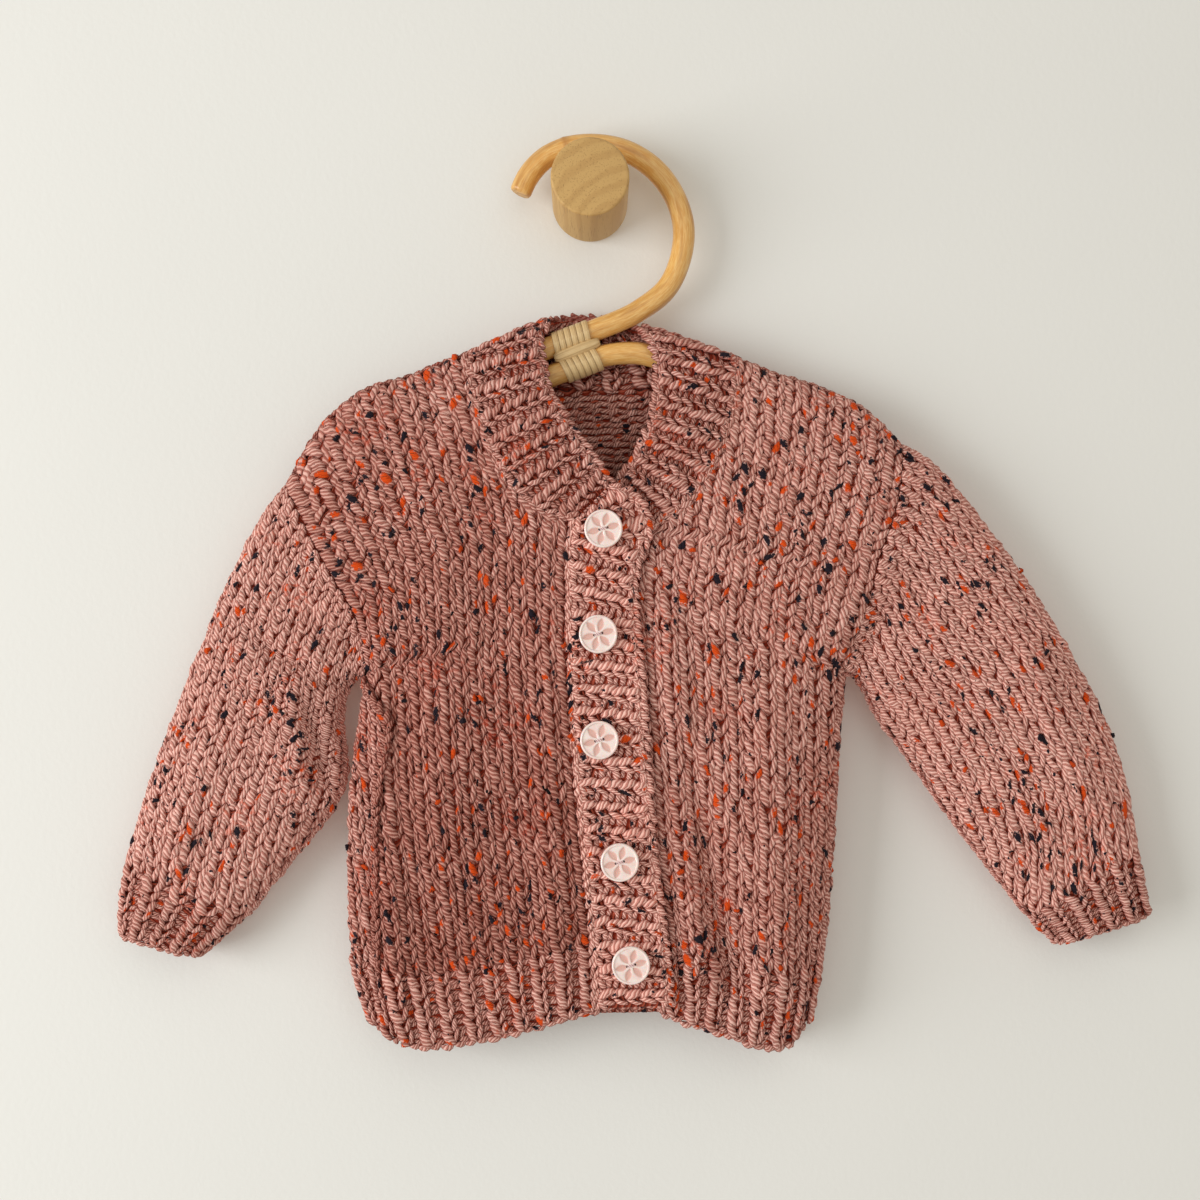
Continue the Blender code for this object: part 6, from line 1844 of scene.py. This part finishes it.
    def build(self, cloth: Cloth) -> list[bpy.types.Object]:
        """Makes the hook, the bow and the binding."""
        half = self.binding_length / 2 + 0.0025
        upper, lower = CANE_SPACING / 2, -CANE_SPACING / 2
        tail = [self.binding_place(along, upper) for along in (half, 0, -half, -half - HOOK_TAIL)]
        middle = [self.binding_place(along, lower) for along in (-half, 0, half)]
        right, left = ([self.shoulder_seat(cloth, across) for across in seats]
                       for seats in (BOW_SEATS_RIGHT, BOW_SEATS_LEFT))
        bow = right + list(BOW_RIGHT_ROUTE) + middle + list(BOW_LEFT_ROUTE) + left
        golden = CaneFinish().material()
        pale = CaneFinish("Pale split cane", srgb(222, 184, 126), srgb(176, 134, 80), srgb(236, 206, 152),
                          0.5).material()
        return [self.cane("hanger_hook_cane", "hanger_hook", list(HOOK_ROUTE) + tail, (0.031,), golden),
                self.cane("hanger_bow_cane", "hanger_bow", bow, (0.052, 0.172), golden), self.strips(pale)]


@dataclass(frozen=True)
class Peg:
    """Round wooden wall peg."""

    radius: float = 0.0174
    length: float = 0.040
    edge: float = 0.0012

    def build(self) -> bpy.types.Object:
        """Turns the peg and eases its edges."""
        shape = bmesh.new()
        turn = Matrix.Rotation(math.pi / 2, 4, "X")
        place = Matrix.Translation((0, -self.length / 2, 0))
        bmesh.ops.create_cone(shape, cap_ends=True, segments=96, radius1=self.radius, radius2=self.radius,
                              depth=self.length, matrix=place @ turn)
        ends = [edge for edge in shape.edges if len(edge.link_faces) == 2
                and edge.calc_face_angle(0.0) > math.radians(60)]
        bmesh.ops.bevel(shape, geom=ends, offset=self.edge, offset_type="OFFSET", segments=5, profile=0.5,
                        affect="EDGES", material=-1)
        piece = finished("wall_peg_turned", shape, WoodFinish().material(), "peg", math.radians(40))
        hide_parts("wall_peg")
        return piece


# ---- room, light and camera ----
@dataclass(frozen=True)
class Room:
    """Pale wall and floor, soft light from the lower left, and the camera."""

    eye: Point = (0.0, -0.720, -0.2307)
    focal_pixels: float = 1545.0
    picture: float = 1200.0
    shift: tuple[float, float] = (10 / 1200, 100 / 1200)
    wall_colour: Colour = srgb(240, 238, 232)
    floor_colour: Colour = srgb(232, 228, 220)

    def surface(self, name: str, corners: Sequence[Point], colour: Colour) -> bpy.types.Object:
        """A plain matt sheet of the room, seen only from its front."""
        shape = bmesh.new()
        shape.faces.new([shape.verts.new(corner) for corner in corners])
        mesh = mesh_of(name, shape)
        graph = Graph(f"{name} paint", 0.9)
        place = graph.object_place()
        cloud = graph.noise(place, 3.0, 3.0).spread(0.3, 0.7, 0.0, 0.5)
        graph.paint(graph.mix(cloud, colour, tuple(0.955 * part for part in colour)))
        graph.bump(graph.noise(place, 420.0, 3.0), 0.0003, 0.35)
        behind, clear = graph.node("NewGeometry", {}, "Backfacing"), graph.node("BsdfTransparent", {})
        shown = graph.node("MixShader", {0: behind, 1: Value(graph, graph.shader.outputs[0]), 2: clear})
        graph.feed(graph.nodes["Material Output"].inputs["Surface"], shown)
        mesh.materials.append(graph.material)
        sheet = in_scene(name, mesh)
        sheet.visible_shadow = sheet.visible_diffuse = sheet.visible_glossy = False
        return sheet

    def lamp(self, name: str, place: Point, aim: Point, size: float,
             power: float, colour: Colour) -> None:
        """A square soft light."""
        light = bpy.data.lights.new(name, "AREA")
        light.shape, light.size, light.energy, light.color = "SQUARE", size, power, colour
        holder = in_scene(name, light)
        holder.location = place
        holder.rotation_euler = (Vector(aim) - Vector(place)).to_track_quat("-Z", "Y").to_euler()

    def build(self) -> None:
        """Makes the room, its light and the camera."""
        self.surface("wall", ((-3, 0.0006, -1.2), (3, 0.0006, -1.2), (3, 0.0006, 2), (-3, 0.0006, 2)),
                     self.wall_colour)
        self.surface("floor", ((-3, -3, -1.2), (3, -3, -1.2), (3, 0.0006, -1.2), (-3, 0.0006, -1.2)),
                     self.floor_colour)
        self.lamp("window", (-1.72, -1.00, -0.34), (0.0, 0.0, -0.22), 1.3, 28.0, (0.95, 0.975, 1.0))
        self.lamp("fill", (0.3, -1.8, 0.3), (0.0, 0.0, -0.22), 1.6, 3.0, (1.0, 0.97, 0.92))
        bpy.context.scene.view_settings.view_transform = "Standard"
        world = bpy.data.worlds.new("Soft room")
        world.use_nodes = True
        sky = world.node_tree.nodes["Background"].inputs
        sky["Color"].default_value = (1.0, 0.975, 0.91, 1.0)
        sky["Strength"].default_value = 0.54
        bpy.context.scene.world = world
        lens = bpy.data.cameras.new("camera")
        lens.sensor_width = 36.0
        lens.lens = self.focal_pixels / self.picture * 36.0
        lens.shift_x, lens.shift_y = self.shift
        camera = in_scene("camera", lens)
        camera.location = self.eye
        camera.rotation_euler = (math.pi / 2, 0.0, 0.0)
        bpy.context.scene.camera = camera


# ---- the cardigan ----
@dataclass
class Cardigan:
    """All the knitted pieces, with their edge stitches."""

    marking: Marking = Marking()

    def pieces(self) -> list[KnitPiece]:
        """Every knitted piece of the cut."""
        mark = self.marking
        plain, rib, loops, chains = Knit.STOCKINETTE, Knit.RIB, Trim.LOOPS, Trim.CHAINS
        # Each piece's shade, and its lightening towards the top, is painted light and shade in the yarn's
        # colour: darkest on the wearer's right front, which lies in shade, lighter towards the shoulders, and
        # lightest on the buttonhole band and the sleeves, where light falls.
        return [
            KnitPiece("front_right", mark.front(True), plain, (0.115, 0.250), 0.0263, 11, trim=Trim.SEAM,
                      seam_on_low=True, to_shoulder=True, shade=0.68, painted_light_to_top=0.20),
            KnitPiece("front_left", mark.front(False), plain, (0.115, 0.250), 0.0257, 12, to_shoulder=True,
                      shade=0.88, painted_light_to_top=0.11),
            KnitPiece("back", mark.back(), plain, (0.275, 0.250), 0.0668, 13, spindle=(5, 5), inner_from=33.0,
                      shade=0.88),
            KnitPiece("sleeve_right", mark.sleeve(True), plain, (0.215, 0.185), 0.0263, 14, closed=True,
                      trim=Trim.SEAM, shade=1.03),
            KnitPiece("sleeve_left", mark.sleeve(False), plain, (0.235, 0.190), 0.0322, 15, closed=True,
                      trim=Trim.SEAM, shade=1.08),
            KnitPiece("rib_front_right", mark.hem("front_right"), rib, (0.115, 0.031), 0.0034, 21, trim=loops,
                      shade=0.94),
            KnitPiece("rib_front_left", mark.hem("front_left"), rib, (0.090, 0.032), 0.0028, 22, trim=loops,
                      shade=0.96),
            KnitPiece("rib_back", mark.hem("back"), rib, (0.250, 0.033), 0.0081, 23, trim=loops,
                      inner_from=0.0, shade=0.90),
            KnitPiece("cuff_right", mark.cuff(True), rib, (0.110, 0.030), 0.0030, 24, closed=True, trim=loops,
                      inner_from=0.0, shade=0.97),
            KnitPiece("cuff_left", mark.cuff(False), rib, (0.115, 0.030), 0.0030, 25, closed=True, trim=loops,
                      inner_from=0.0, shade=0.97),
            KnitPiece("buttonhole_band", mark.band(True), rib, (0.245, 0.032), 0.0076, 26, trim=chains,
                      shade=1.20),
            KnitPiece("button_band", mark.band(False), rib, (0.245, 0.032), 0.0076, 27, trim=chains,
                      shade=0.94),
            KnitPiece("neckband", mark.neckband(), rib, (0.335, 0.034), 0.0103, 28, trim=chains,
                      inner_from=0.0, shade=0.92),
        ]

    def build(self) -> list[bpy.types.Object]:
        """Makes all the pieces and reports each."""
        yarn, plain = TweedYarn().material(), PlainKnit().material()
        made = []
        for piece in self.pieces():
            objects = piece.build(yarn, plain)
            made += objects
            log.info("%s: %d corners in its stitches", piece.node, len(objects[1].data.vertices))
        return made


@dataclass
class Buttons:
    """The five buttons down the front."""

    button: Button = Button()

    def build(self) -> list[bpy.types.Object]:
        """Makes the buttons where the solids' buttons are."""
        finish, sewing = PearlFinish().material(), SewingThread().material()
        made = []
        for number, (x, z) in enumerate(BUTTON_PLACES, start=1):
            node = f"button_{number}"
            _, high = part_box(node)
            made.append(self.button.build(f"{node}_pearl", node, (x, high[1], z), finish))
            made.append(self.button.thread(f"{node}_thread", (x, high[1], z), sewing))
            log.info("button %d at %.4f, %.4f", number, x, z)
        return made


def main() -> None:
    """Builds the room and every piece."""
    logging.basicConfig(level=logging.INFO, format="%(message)s")
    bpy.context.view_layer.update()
    Room().build()
    log.info("room, light and camera")
    cloth = Cloth()
    Cardigan().build()
    Buttons().build()
    for piece in (*Hanger().build(cloth), Peg().build()):
        log.info("%s: %d faces", piece.name, len(piece.data.polygons))


if __name__ == "__main__":
    main()
